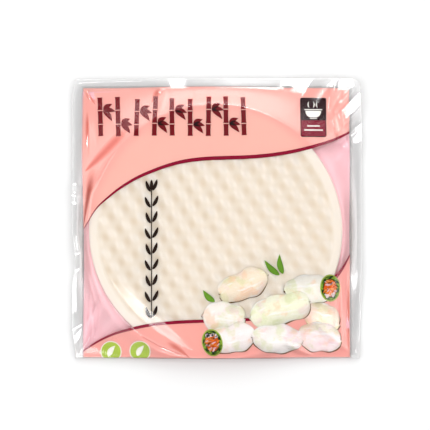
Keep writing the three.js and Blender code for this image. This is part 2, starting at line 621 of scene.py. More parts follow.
    def to_seal(self, share: np.ndarray, gap: np.ndarray, seal: np.ndarray) -> np.ndarray:
        """Share of the way from the rim to the seal, from the share of the way to the outline."""
        return np.clip(share / (1 - seal / np.maximum(gap, TINY)), 0, 1)

    def front(self, x: np.ndarray, y: np.ndarray) -> np.ndarray:
        """Height of the front film over any point of the bag, as the film's mesh has it.

        Args:
            x: Places across the bag.
            y: Places along the bag.

        Returns:
            The heights.
        """
        column = self.column_of(x, y)
        gap = self.along(self.gap, column)
        reach = np.hypot(x - self.middle[0], y - self.middle[1])
        on_table = 1 - (1 - np.clip(reach / self.radius, 0, 1)) ** (1 / self.table_power)
        on_slope = np.clip((reach - self.radius) / gap, 0, 1)
        row = on_table * self.table_rows + on_slope * self.slope_rows
        r0 = np.clip(np.floor(row).astype(int), 0, self.table_rows + self.slope_rows - 1)
        c0 = np.floor(column).astype(int) % self.columns
        c1 = (c0 + 1) % self.columns
        fr, fc = row - r0, column - np.floor(column)
        upper = self.front_z[r0, c0] * (1 - fc) + self.front_z[r0, c1] * fc
        lower = self.front_z[r0 + 1, c0] * (1 - fc) + self.front_z[r0 + 1, c1] * fc
        return upper * (1 - fr) + lower * fr

    def column_of(self, x: np.ndarray, y: np.ndarray) -> np.ndarray:
        """The columns that run through points.

        Args:
            x: Places across the bag.
            y: Places along the bag.

        Returns:
            The columns' numbers, with their fractions.
        """
        angle = np.arctan2(y - self.middle[1], x - self.middle[0])
        turn = 2 * np.pi
        angle = self.angle[0] + np.mod(angle - self.angle[0], turn)
        return np.interp(angle, np.append(self.angle, self.angle[0] + turn), np.arange(self.columns + 1))

    def along(self, values: np.ndarray, column: np.ndarray) -> np.ndarray:
        """A value of the columns at a fractional column."""
        return np.interp(column, np.arange(self.columns + 1), np.append(values, values[0]))

    def film_points(self) -> np.ndarray:
        """Every point of the film's net.

        Returns:
            The rows between its two poles, as rows by columns by 3, from the front to the underside.
        """
        front = np.stack([self.front_x, self.front_y, self.front_z], -1)[1:]
        top, bottom = self.front_z[-1], self.back_edge + self.under_bend * self.near
        wall = []
        for k in range(1, self.wall_rows + 1):
            share = k / (self.wall_rows + 1)
            swell = self.fold_bulge * self.near * (self.front_edge - self.back_edge) / self.height
            out = swell * math.sin(math.pi * share)
            wall.append(np.stack([self.edge_x, self.edge_y - out, top + (bottom - top) * share], -1))
        slope = 1 - np.arange(self.back_slope_rows) / self.back_slope_rows
        table = 1 - np.arange(self.back_table_rows) / self.back_table_rows
        slope = np.concatenate([slope, np.zeros(self.back_table_rows)])
        x, y = self._plan(np.concatenate([np.ones(self.back_slope_rows), table]), slope)
        down = self.to_seal(slope[:, None], self.gap, self.seal)
        z = self.back_edge * down**self.back_lift_power + FLAP.lift(y - self.fold_line)
        return np.concatenate([front, np.array(wall), np.stack([x, y, z], -1)])


@dataclass(frozen=True)
class FlapSizes:
    """The end of the bag that is folded under.

    Attributes:
        length: How far it reaches.
        seal: Width of the unprinted seam along its end.
        thickness: Its thickness.
        lifted: How much it lifts the back film.
        ramp: How far the back film takes to come down again.
        print_height: Height of its print over its film.
        print_spread: How much of a print's depth it keeps, so that prints stay apart.
    """

    length: float = 38.0
    seal: float = 9.0
    thickness: float = 0.12
    lifted: float = 0.3
    ramp: float = 7.0
    print_height: float = 0.07
    print_spread: float = 0.02

    def lift(self, from_fold: np.ndarray) -> np.ndarray:
        """How much the flap lifts the back film at a distance from the fold."""
        return self.lifted * np.clip((self.length + self.ramp - from_fold) / self.ramp, 0, 1)


FLAP = FlapSizes()
FORM = BagForm()


# ---- placing print on the film ----

def under_film(x: np.ndarray, y: np.ndarray, depth: float) -> np.ndarray:
    """Places flat print just inside the front film, round the bottom fold and on under the bag.

    Args:
        x: Places across the unfolded film.
        y: Places along it; what lies below the fold line goes down the fold's wall and then under.
        depth: Distance inside the film.

    Returns:
        Points, n by 3.
    """
    line = FORM.fold_line
    on_front = np.maximum(y, line + TINY)
    column = FORM.column_of(x, on_front)
    bend = FORM.along(FORM.bend, column)
    turned = np.clip(1 - (on_front - line) / np.maximum(bend, TINY), 0, 1)
    z = FORM.front(x, on_front) - depth * (1 - turned)
    points = np.stack([x, on_front + depth * turned, z], -1)
    past = line - y
    edge = FORM.front(x, np.full_like(x, line + TINY))
    floor = FLAP.thickness + FLAP.print_height + FLAP.print_spread * depth
    wall = np.maximum(edge - floor, TINY)
    down = np.clip(past / wall, 0, 1)
    bulge = FORM.fold_bulge * np.sin(np.pi * down) * wall / FORM.height
    on_wall = np.stack([x, line + depth - bulge, edge - wall * down], -1)
    below = np.stack([x, line + depth + np.maximum(past - wall, 0), np.full_like(x, floor)], -1)
    points = np.where((past > 0)[:, None], on_wall, points)
    return np.where((past > wall)[:, None], below, points)


def ruled_print(name: str, columns: int, rows: int, depth: float, thickness: float, plan: Plan
                ) -> bpy.types.Object:
    """A field of print under the film.

    Args:
        name: The piece's name.
        columns: Cells along u.
        rows: Cells along v.
        depth: Distance inside the film.
        thickness: The print's thickness.
        plan: The flat place of a point at u and v.

    Returns:
        The closed piece.
    """
    sheet, u, v = flat_grid(name, columns, rows)
    x, y = plan(u, v)
    set_points(sheet, under_film(x, y, depth))
    thicken(sheet, thickness)
    return sheet


class Profile(Enum):
    """How a printed shape's half width goes along its spine."""

    LEAF = "leaf"
    GRAIN = "grain"
    STALK = "stalk"
    DISC = "disc"
    ROLL = "roll"
    BAR = "bar"
    BOWL = "bowl"
    WEDGE = "wedge"

    def share(self, u: np.ndarray) -> np.ndarray:
        """How wide the shape is.

        Args:
            u: Shares of the spine.

        Returns:
            Half the width there, of the largest half width.
        """
        middle = np.abs(2 * u - 1)
        if self is Profile.LEAF:
            shape = np.sin(np.pi * u**0.75) ** 0.9
        elif self is Profile.GRAIN:
            shape = np.sin(np.pi * u**0.85) ** 0.6
        elif self is Profile.STALK:
            shape = 0.86 + 0.14 * middle**4
        elif self is Profile.DISC:
            shape = np.sqrt(np.maximum(0, 1 - middle**2))
        elif self is Profile.ROLL:
            shape = np.maximum(0, 1 - middle**3.6) ** 0.5
        elif self is Profile.BOWL:
            shape = 0.34 + 0.66 * np.sqrt(np.maximum(0, 1 - (1 - u) ** 2))
        elif self is Profile.WEDGE:
            shape = (1 - u) * (1 - 0.5 * np.exp(-20 * u))
        else:
            shape = np.ones_like(u)
        return np.maximum(shape, 0.02)


@dataclass(frozen=True)
class Shape:
    """A flat printed shape about a spine.

    Attributes:
        start: The spine's start.
        end: The spine's end.
        half_width: Its largest half width.
        profile: How the half width goes along the spine.
        bow: How far the spine's middle stands aside.
        tint: Its colour, where its ink reads one.
        cells: Cells along and across.
        depth: Distance inside the film.
        ripple: How uneven its outline is.
        edge: The colour it fades to at its sides and its start, if it does.
    """

    start: Point
    end: Point
    half_width: float
    profile: Profile
    bow: float = 0.0
    tint: Colour = (1.0, 1.0, 1.0)
    cells: tuple[int, int] = (10, 4)
    depth: float = 0.42
    ripple: float = 0.0
    edge: Colour | None = None

    def build(self) -> bpy.types.Object:
        """Makes the shape as an open sheet in its place under the film.

        Returns:
            The sheet.
        """
        sheet, u, v = flat_grid("shape", *self.cells)
        run = np.subtract(self.end, self.start)
        length = np.hypot(*run)
        ux, uy = run / length
        aside = (2 * v - 1) * self.half_width * self.profile.share(u) + self.bow * np.sin(np.pi * u)
        phase = self.start[0] + 0.7 * self.end[1]
        along = length * u + self.ripple * np.sin(5 * v + phase)
        aside = aside + self.ripple * (np.sin(9 * u + 2 * v + phase) + 0.6 * np.sin(17 * u - 3 * v + phase))
        x = self.start[0] + ux * along - uy * aside
        y = self.start[1] + uy * along + ux * aside
        set_points(sheet, under_film(x, y, self.depth))
        colours = np.tile((*self.tint, 1.0), (len(u), 1))
        if self.edge is not None:
            share = np.sin(np.pi * v) * np.minimum(1, 3 * u)
            colours[:, :3] = self.edge + (np.array(self.tint) - self.edge) * share[:, None]
        paint(sheet, "tint", colours)
        return sheet


def printed(name: str, shapes: list[Shape], thickness: float = 0.03) -> bpy.types.Object:
    """Shapes of one ink as one piece.

    Args:
        name: The piece's name.
        shapes: The shapes.
        thickness: The print's thickness.

    Returns:
        The closed piece.
    """
    piece = join([shape.build() for shape in shapes], name)
    thicken(piece, thickness)
    return piece


# ---- finishes ----

class NodeTree:
    """A short way to place, feed and link shader nodes."""

    def __init__(self, tree: bpy.types.NodeTree) -> None:
        """Takes the tree to build in."""
        self.tree = tree

    def feed(self, target: bpy.types.NodeSocket, value: object) -> None:
        """Links an output to an input, or sets the input.

        Args:
            target: The input.
            value: An output, a constant, or None to leave the input as it is.
        """
        if isinstance(value, bpy.types.NodeSocket):
            self.tree.links.new(value, target)
        elif value is not None:
            target.default_value = value

    def fill(self, node: bpy.types.Node, **values: object) -> None:
        """Sets a node's properties and feeds its inputs.

        Args:
            node: The node.
            **values: Its properties, or its inputs by their name with _ for a space.
        """
        for key, value in values.items():
            if hasattr(node, key):
                setattr(node, key, value)
            else:
                self.feed(node.inputs[key.replace("_", " ")], value)

    def add(self, kind: str, *inputs: object, **values: object) -> bpy.types.Node:
        """Adds a node.

        Args:
            kind: The node's type, without its ShaderNode prefix.
            *inputs: What its first inputs are fed, in their order.
            **values: As in fill.

        Returns:
            The node.
        """
        node = self.tree.nodes.new("ShaderNode" + kind)
        self.fill(node, **values)
        for target, value in zip(node.inputs, inputs):
            self.feed(target, value)
        return node

    def math(self, operation: str, *inputs: object, clamp: bool = False) -> bpy.types.NodeSocket:
        """Adds a sum of values.

        Args:
            operation: The Math node's operation.
            *inputs: What it is fed.
            clamp: Whether the sum stays from 0 to 1.

        Returns:
            The sum.
        """
        return self.add("Math", *inputs, operation=operation, use_clamp=clamp).outputs[0]

    def vector(self, operation: str, *inputs: object, **values: object) -> bpy.types.NodeSocket:
        """Adds a sum of vectors.

        Args:
            operation: The VectorMath node's operation.
            *inputs: The vectors that it is fed.
            **values: Its other inputs.

        Returns:
            The sum, a number when the operation gives one.
        """
        node = self.add("VectorMath", *inputs, operation=operation, **values)
        return node.outputs["Value" if operation in ("DISTANCE", "DOT_PRODUCT") else "Vector"]

    def mix(self, share: object, first: object, second: object) -> bpy.types.NodeSocket:
        """Adds a blend of two colours.

        Args:
            share: How much of the second colour it has.
            first: The first colour.
            second: The second colour.

        Returns:
            The blend.
        """
        blend = self.add("Mix", share, data_type="RGBA")
        self.feed(blend.inputs[6], first)
        self.feed(blend.inputs[7], second)
        return blend.outputs[2]

    def rise(self, value: bpy.types.NodeSocket, low: float, high: float, most: float = 1.0
             ) -> bpy.types.NodeSocket:
        """Adds a mask that rises smoothly.

        Args:
            value: What it goes by.
            low: The value up to which it is 0.
            high: The value from which it is at its most.
            most: Its most.

        Returns:
            The mask.
        """
        return self.add("MapRange", value, interpolation_type="SMOOTHSTEP", From_Min=low, From_Max=high,
                        To_Max=most).outputs["Result"]


def shader_group(name: str, inputs: tuple[tuple[str, str, object], ...], output: tuple[str, str]
                 ) -> tuple[NodeTree, bpy.types.NodeOutputs, bpy.types.NodeSocket]:
    """Starts a shader node group.

    Args:
        name: The group's name.
        inputs: Name, kind and usual value of each input.
        output: Name and kind of its output.

    Returns:
        The tree, the sockets that bring its inputs, and the socket that takes its output.
    """
    group = bpy.data.node_groups.new(name, "ShaderNodeTree")
    for label, kind, value in inputs:
        socket = group.interface.new_socket(name=label, in_out="INPUT", socket_type="NodeSocket" + kind)
        if value is not None:
            socket.default_value = value
    group.interface.new_socket(name=output[0], in_out="OUTPUT", socket_type="NodeSocket" + output[1])
    inside, outside = group.nodes.new("NodeGroupInput"), group.nodes.new("NodeGroupOutput")
    return NodeTree(group), inside.outputs, outside.inputs[0]


@cache
def mottle_group() -> bpy.types.NodeTree:
    """A colour that lightens and darkens in soft clouds with fine grain in them.

    Returns:
        The group.
    """
    nodes, inside, result = shader_group(
        "mottle",
        (("Vector", "Vector", None), ("Colour", "Color", WHITE), ("Scale", "Float", 20.0),
         ("Amount", "Float", 0.05)),
        ("Colour", "Color"),
    )
    clouds = nodes.add("TexNoise", Vector=inside["Vector"], Scale=inside["Scale"], Detail=6.0, Roughness=0.62)
    centred = nodes.math("SUBTRACT", clouds.outputs["Fac"], 0.5)
    swing = nodes.math("MULTIPLY_ADD", centred, inside["Amount"], 1.0)
    nodes.feed(result, nodes.vector("SCALE", inside["Colour"], Scale=swing))
    return nodes.tree


@cache
def crinkle_group() -> bpy.types.NodeTree:
    """The height of small flat facets and soft dents, as of film that was handled.

    Returns:
        The group.
    """
    nodes, inside, result = shader_group(
        "crinkle",
        (("Vector", "Vector", None), ("Facet Scale", "Float", 60.0), ("Dent Scale", "Float", 25.0)),
        ("Height", "Float"),
    )
    facets = nodes.add("TexVoronoi", feature="SMOOTH_F1", Smoothness=0.35, Vector=inside["Vector"],
                       Scale=inside["Facet Scale"])
    dents = nodes.add("TexNoise", Vector=inside["Vector"], Scale=inside["Dent Scale"], Detail=3.0,
                      Roughness=0.45)
    facet_share = 0.3
    both = nodes.math("MULTIPLY_ADD", facets.outputs["Distance"], facet_share, dents.outputs["Fac"])
    nodes.feed(result, both)
    return nodes.tree


@cache
def margins_group() -> bpy.types.NodeTree:
    """A mask of the unprinted margins at both sides and at the top.

    Returns:
        The group.
    """
    nodes, inside, result = shader_group("margins", (("Vector", "Vector", None),), ("Mask", "Float"))
    split = nodes.add("SeparateXYZ", inside["Vector"])
    aside = nodes.math("ABSOLUTE", split.outputs["X"])
    masks = [nodes.rise(place, start * MM, (start + MARGIN_FADE) * MM)
             for place, start in ((aside, SIDE_MARGIN), (split.outputs["Y"], TOP_MARGIN))]
    nodes.feed(result, nodes.math("MAXIMUM", *masks))
    return nodes.tree


@cache
def slope_shade_group() -> bpy.types.NodeTree:
    """A lit colour over the papers and a darker one beside them: painted shade where the film slopes down past
    their rim.

    Returns:
        The group.
    """
    nodes, inside, result = shader_group(
        "slope_shade",
        (("Vector", "Vector", None), ("Bare", "Color", WHITE), ("Backed", "Color", WHITE)),
        ("Colour", "Color"),
    )
    flat = nodes.vector("MULTIPLY", inside["Vector"], (1, 1, 0))
    middle = (PAPER_MIDDLE[0] * MM, PAPER_MIDDLE[1] * MM, 0)
    start, end = SLOPE_SHADE_FADE
    beside = nodes.rise(nodes.vector("DISTANCE", flat, middle), (PAPER_RADIUS + start) * MM,
                        (PAPER_RADIUS + end) * MM)
    nodes.feed(result, nodes.mix(beside, inside["Backed"], inside["Bare"]))
    return nodes.tree


@cache
def food_group() -> bpy.types.NodeTree:
    """A printed roll's colour, with patches of filling that show through and shade at its edges.

    Returns:
        The group.
    """
    nodes, inside, result = shader_group(
        "food",
        (("Vector", "Vector", None), ("Across", "Vector", None), ("Colour", "Color", WHITE),
         ("Patches", "Float", 0.5), ("Edge", "Float", 0.6), ("Sheen", "Float", 0.0)),
        ("Colour", "Color"),
    )
    colour = inside["Colour"]
    most = 0.6
    for shift, low, high, tint in FILLING_PATCHES:
        moved = nodes.vector("ADD", inside["Vector"], (shift, shift, 0))
        noise = nodes.add("TexNoise", Vector=moved, Scale=70.0, Detail=3.0, Roughness=0.55)
        patch = nodes.rise(noise.outputs["Fac"], low, high, most)
        colour = nodes.mix(nodes.math("MULTIPLY", patch, inside["Patches"]), colour, tint)
    stretch = (1.6, 5.0, 0)
    pulled = nodes.vector("MULTIPLY_ADD", inside["Across"], stretch, inside["Vector"])
    creases = nodes.add("TexNoise", Vector=pulled, Scale=1.7, Detail=4.0, Roughness=0.6, Distortion=0.8)
    glint = nodes.rise(creases.outputs["Fac"], 0.5, 0.68)
    colour = nodes.mix(nodes.math("MULTIPLY", glint, inside["Sheen"]), colour, WHITE)
    ridge, fall = 0.6, -1.6
    aside = nodes.math("SUBTRACT", nodes.add("SeparateXYZ", inside["Across"]).outputs["Y"], ridge)
    dark = nodes.math("MULTIPLY", nodes.math("MULTIPLY", aside, aside), inside["Edge"])
    shade = nodes.math("MULTIPLY_ADD", dark, fall, 1.0)
    nodes.feed(result, nodes.vector("SCALE", colour, Scale=shade))
    return nodes.tree


@dataclass(frozen=True)
class Finish:
    """What all finishes have.

    Attributes:
        name: The finish's name.
    """

    name: str

    def start(self) -> tuple[bpy.types.Material, NodeTree, bpy.types.Node]:
        """Starts the material.

        Returns:
            The material, its nodes and its shader.
        """
        made = bpy.data.materials.new(self.name)
        made.use_nodes = True
        nodes = NodeTree(made.node_tree)
        return made, nodes, made.node_tree.nodes["Principled BSDF"]

    def material(self) -> bpy.types.Material:
        """Builds the finish."""
        raise NotImplementedError


@dataclass(frozen=True)
class Ink(Finish):
    """Ink printed on the inside of the film.

    Attributes:
        colour: Its colour as linear light, or None where each shape's tint is its colour; with backed set, it
            shows only beside the papers, darker there as painted shade where the film slopes down.
        lit_on_papers: Its lighter, lit colour over the papers, when it differs there.
        density_swing: How much its density swings.
        scale: How fine the swing is, in swings a metre.
    """

    colour: Colour | None
    lit_on_papers: Colour | None = None
    density_swing: float = 0.07
    scale: float = 55.0

    @cache
    def material(self) -> bpy.types.Material:
        """Builds the finish.

        Returns:
            The material.
        """
        made, nodes, shader = self.start()
        places = nodes.add("TexCoord").outputs
        if self.colour is None:
            colour = nodes.add("Attribute", attribute_name="tint").outputs["Color"]
        elif self.lit_on_papers is None:
            colour = (*self.colour, 1)
        else:
            # painted shade: darker ink beside the papers, where the film slopes down past their rim
            colour = nodes.add("Group", node_tree=slope_shade_group(), Vector=places["Object"],
                               Bare=(*self.colour, 1), Backed=(*self.lit_on_papers, 1)).outputs["Colour"]
        mottle = nodes.add("Group", node_tree=mottle_group(), Vector=places["Object"], Colour=colour,
                           Scale=self.scale, Amount=self.density_swing)
        nodes.fill(shader, Base_Color=mottle.outputs["Colour"], Roughness=INK_ROUGHNESS,
                   Specular_IOR_Level=INK_SHINE)
        return made


@dataclass(frozen=True)
class FoodInk(Finish):
    """Ink of the printed food: each shape's own tint, rounded by shade, with fillings that show through.

    Attributes:
        density_swing: How much its density swings.
        patches: How strongly green and orange fillings show through.
        edge: How much it darkens towards its long edges.
        sheen: How strongly pale creases show.
    """

    density_swing: float = 0.35
    patches: float = 0.0
    edge: float = 0.6
    sheen: float = 0.0

    @cache
    def material(self) -> bpy.types.Material:
        """Builds the finish.

        Returns:
            The material.
        """
        made, nodes, shader = self.start()
        places = nodes.add("TexCoord").outputs
        tint = nodes.add("VertexColor", layer_name="tint")
        food = nodes.add("Group", node_tree=food_group(), Vector=places["Object"], Across=places["UV"],
                         Colour=tint.outputs["Color"], Patches=self.patches, Edge=self.edge,
                         Sheen=self.sheen)
        mottle = nodes.add("Group", node_tree=mottle_group(), Vector=places["Object"],
                           Colour=food.outputs["Colour"], Scale=130.0, Amount=self.density_swing)
        nodes.fill(shader, Base_Color=mottle.outputs["Colour"], Roughness=INK_ROUGHNESS,
                   Specular_IOR_Level=INK_SHINE)
        return made


@dataclass(frozen=True)
class ClearFilm(Finish):
    """Clear, glossy film: it shows what is behind it, mirrors a share of the light and is a little hazy.

    Attributes:
        seen_share: How much of the film shows head on.
        fresnel_gain: How much more shows towards grazing angles.
        mirror: The share of what shows that is a mirror; the rest is white haze.
        roughness: How blurred the mirror is.
        dents: Depth of the small dents, in metres.
        margin_share: How much more shows in the unprinted margins, which were handled most.
        margin_haze: The share of it there that is white haze.
    """

    seen_share: float = 0.036
    fresnel_gain: float = 1.15
    mirror: float = 0.97
    roughness: float = 0.1
    dents: float = 0.0003
    margin_share: float = 0.17
    margin_haze: float = 0.6

    @cache
    def material(self) -> bpy.types.Material:
        """Builds the finish.

        Returns:
            The material.
        """
        made, nodes, shader = self.start()
        places = nodes.add("TexCoord").outputs
        margin = nodes.add("Group", node_tree=margins_group(), Vector=places["Object"]).outputs["Mask"]
        crinkle = nodes.add("Group", node_tree=crinkle_group(), Vector=places["Object"])
        relief = nodes.add("Bump", Strength=0.5, Distance=self.dents, Height=crinkle.outputs["Height"])
        grazing = nodes.add("Fresnel", IOR=1.5, Normal=relief.outputs["Normal"])
        fresnel_head_on = 0.04
        seen = nodes.math("MULTIPLY_ADD", grazing.outputs[0], self.fresnel_gain,
                          self.seen_share - self.fresnel_gain * fresnel_head_on, clamp=True)
        handled = nodes.math("MULTIPLY_ADD", margin, self.margin_share, seen, clamp=True)
        clear = nodes.math("MULTIPLY_ADD", margin, -self.margin_haze, self.mirror)
        nodes.fill(shader, Base_Color=(0.97, 0.97, 0.97, 1), Roughness=self.roughness, Metallic=clear,
                   Normal=relief.outputs["Normal"], Alpha=handled)
        return made


@dataclass(frozen=True)
class RicePaper(Finish):
    """Dry rice paper: cream, faintly cloudy, a little translucent, with a soft sheen and painted shade on the
    weave's flanks that face away from the light.

    Attributes:
        colour: Its colour as linear light.
        flank_shade: Its colour on the weave's flanks that face away from the light: painted shade.
        cloud: How much its colour swings.
        grain: Depth of its fine grain, in metres.
    """

    colour: Colour = linear(252, 243, 231)
    flank_shade: Colour = linear(233, 217, 195)
    cloud: float = 0.06
    grain: float = 0.0001

    @cache
    def material(self) -> bpy.types.Material:
        """Builds the finish.

        Returns:
            The material.
        """
        made, nodes, shader = self.start()
        places = nodes.add("TexCoord").outputs
        # painted shade: darker cream on the weave's flanks that face away from the light
        flank_shade_mask = nodes.add("VertexColor", layer_name="flank_shade")
        cream = nodes.mix(flank_shade_mask.outputs["Color"], (*self.colour, 1), (*self.flank_shade, 1))
        mottle = nodes.add("Group", node_tree=mottle_group(), Vector=places["Object"], Colour=cream,
                           Scale=38.0, Amount=self.cloud)
        fine = nodes.add("TexNoise", Vector=places["Object"], Scale=900.0, Detail=2.0)
        relief = nodes.add("Bump", Strength=0.35, Distance=self.grain, Height=fine.outputs["Fac"])
        nodes.fill(shader, Base_Color=mottle.outputs["Colour"], Normal=relief.outputs["Normal"],
                   Roughness=0.34, Specular_IOR_Level=0.5, Subsurface_Weight=0.15,
                   Subsurface_Radius=(0.003, 0.0024, 0.0018), Subsurface_Scale=1.0)
        return made


@dataclass(frozen=True)
class Finishes:
    """All finishes of the pack, each under what it covers."""

    film: Finish = ClearFilm("clear_film")
    paper: Finish = RicePaper("rice_paper")
    # coral: its first colour, beside the papers where the film slopes down, is darker as painted shade; the
    # second is the lit colour over them
    coral: Finish = Ink("coral_ink", linear(249, 189, 180), linear(252, 201, 189))
    # painted shade: the lower field's coral is darker than the upper field's, away from the light
    shaded_low_coral: Finish = Ink("shaded_low_coral_ink", linear(247, 181, 173), linear(250, 188, 178))
    # painted crease shade: each crease's own darker coral tint, partly a doubled layer of ink
    pleat_shade: Finish = Ink("pleat_shade_ink", None, density_swing=0.12)
    back: Finish = Ink("back_ink", linear(250, 202, 210), density_swing=0.1, scale=40.0)
    crimson: Finish = Ink("crimson_ink", linear(150, 0, 50), density_swing=0.12)
    frieze: Finish = Ink("frieze_ink", linear(128, 0, 20), density_swing=0.12)
    dark: Finish = Ink("dark_ink", linear(42, 22, 10), density_swing=0.12)
    badge: Finish = Ink("badge_ink", linear(46, 0, 13), density_swing=0.12)
    badge_field: Finish = Ink("field_ink", linear(142, 0, 46), density_swing=0.12)
    green: Finish = Ink("green_ink", linear(186, 208, 80), density_swing=0.25, scale=120.0)
    white: Finish = Ink("white_ink", linear(250, 246, 240))
    shade: Finish = Ink("shade_ink", linear(120, 92, 52), density_swing=0.3, scale=140.0)
    wrapper: Finish = FoodInk("wrapper_ink", density_swing=0.2, patches=0.5, edge=0.42, sheen=0.7)
    filling: Finish = FoodInk("filling_ink", edge=0.5)


# ---- the film ----

@dataclass
class FilmBag:
    """The clear film: one closed shell over the whole pack, and the end that is folded under.

    Attributes:
        flap_inset: How far the folded end's sides stand in from the bag's.
        flap_start: How far from the fold line the folded end's own film starts.
        flap_clearance: Its height over the ground.
        flap_wave: How much it waves.
        flap_run: How long its waves are, over a full turn.
    """

    flap_inset: float = 12.4
    flap_start: float = 1.2
    flap_clearance: float = 0.05
    flap_wave: float = 0.04
    flap_run: float = 23.0

    def build_shell(self) -> bpy.types.Object:
        """Makes the closed film.

        Returns:
            The shell.
        """
        net = FORM.film_points()
        rings = len(net) + 1
        deselect_all()
        bpy.ops.mesh.primitive_uv_sphere_add(segments=FORM.columns, ring_count=rings, radius=1)
        shell = added("bag_film")
        ball = points_of(shell)
        row = np.rint(np.arccos(np.clip(ball[:, 2], -1, 1)) / np.pi * rings).astype(int)
        turn = np.arctan2(ball[:, 1], ball[:, 0]) / (2 * np.pi)
        column = np.rint(turn * FORM.columns).astype(int) % FORM.columns
        places = np.zeros_like(ball)
        body = (row > 0) & (row < rings)
        places[body] = net[row[body] - 1, column[body]]
        places[row == 0] = (*FORM.middle, FORM.front_z[0, 0])
        places[row == rings] = (*FORM.middle, 0.0)
        set_points(shell, places)
        return shell

    def build_flap(self) -> bpy.types.Object:
        """Makes the film of the end that is folded under.

        Returns:
            The flap.
        """
        sheet, u, v = flat_grid("folded_end", 120, 24)
        half = FORM.width / 2 - self.flap_inset
        x = -half + 2 * half * u
        y = FORM.fold_line + self.flap_start + (FLAP.length - self.flap_start) * v
        lift = self.flap_wave * np.sin(x / self.flap_run) * v
        set_points(sheet, np.stack([x, y, FLAP.thickness + self.flap_clearance + np.abs(lift)], -1))
        thicken(sheet, FLAP.thickness)
        return sheet

    def make(self, finishes: Finishes) -> None:
        """Builds and dresses the film.

        Args:
            finishes: The pack's finishes.
        """
        dress(self.build_shell(), finishes.film)
        dress(self.build_flap(), finishes.film)


# ---- the papers ----

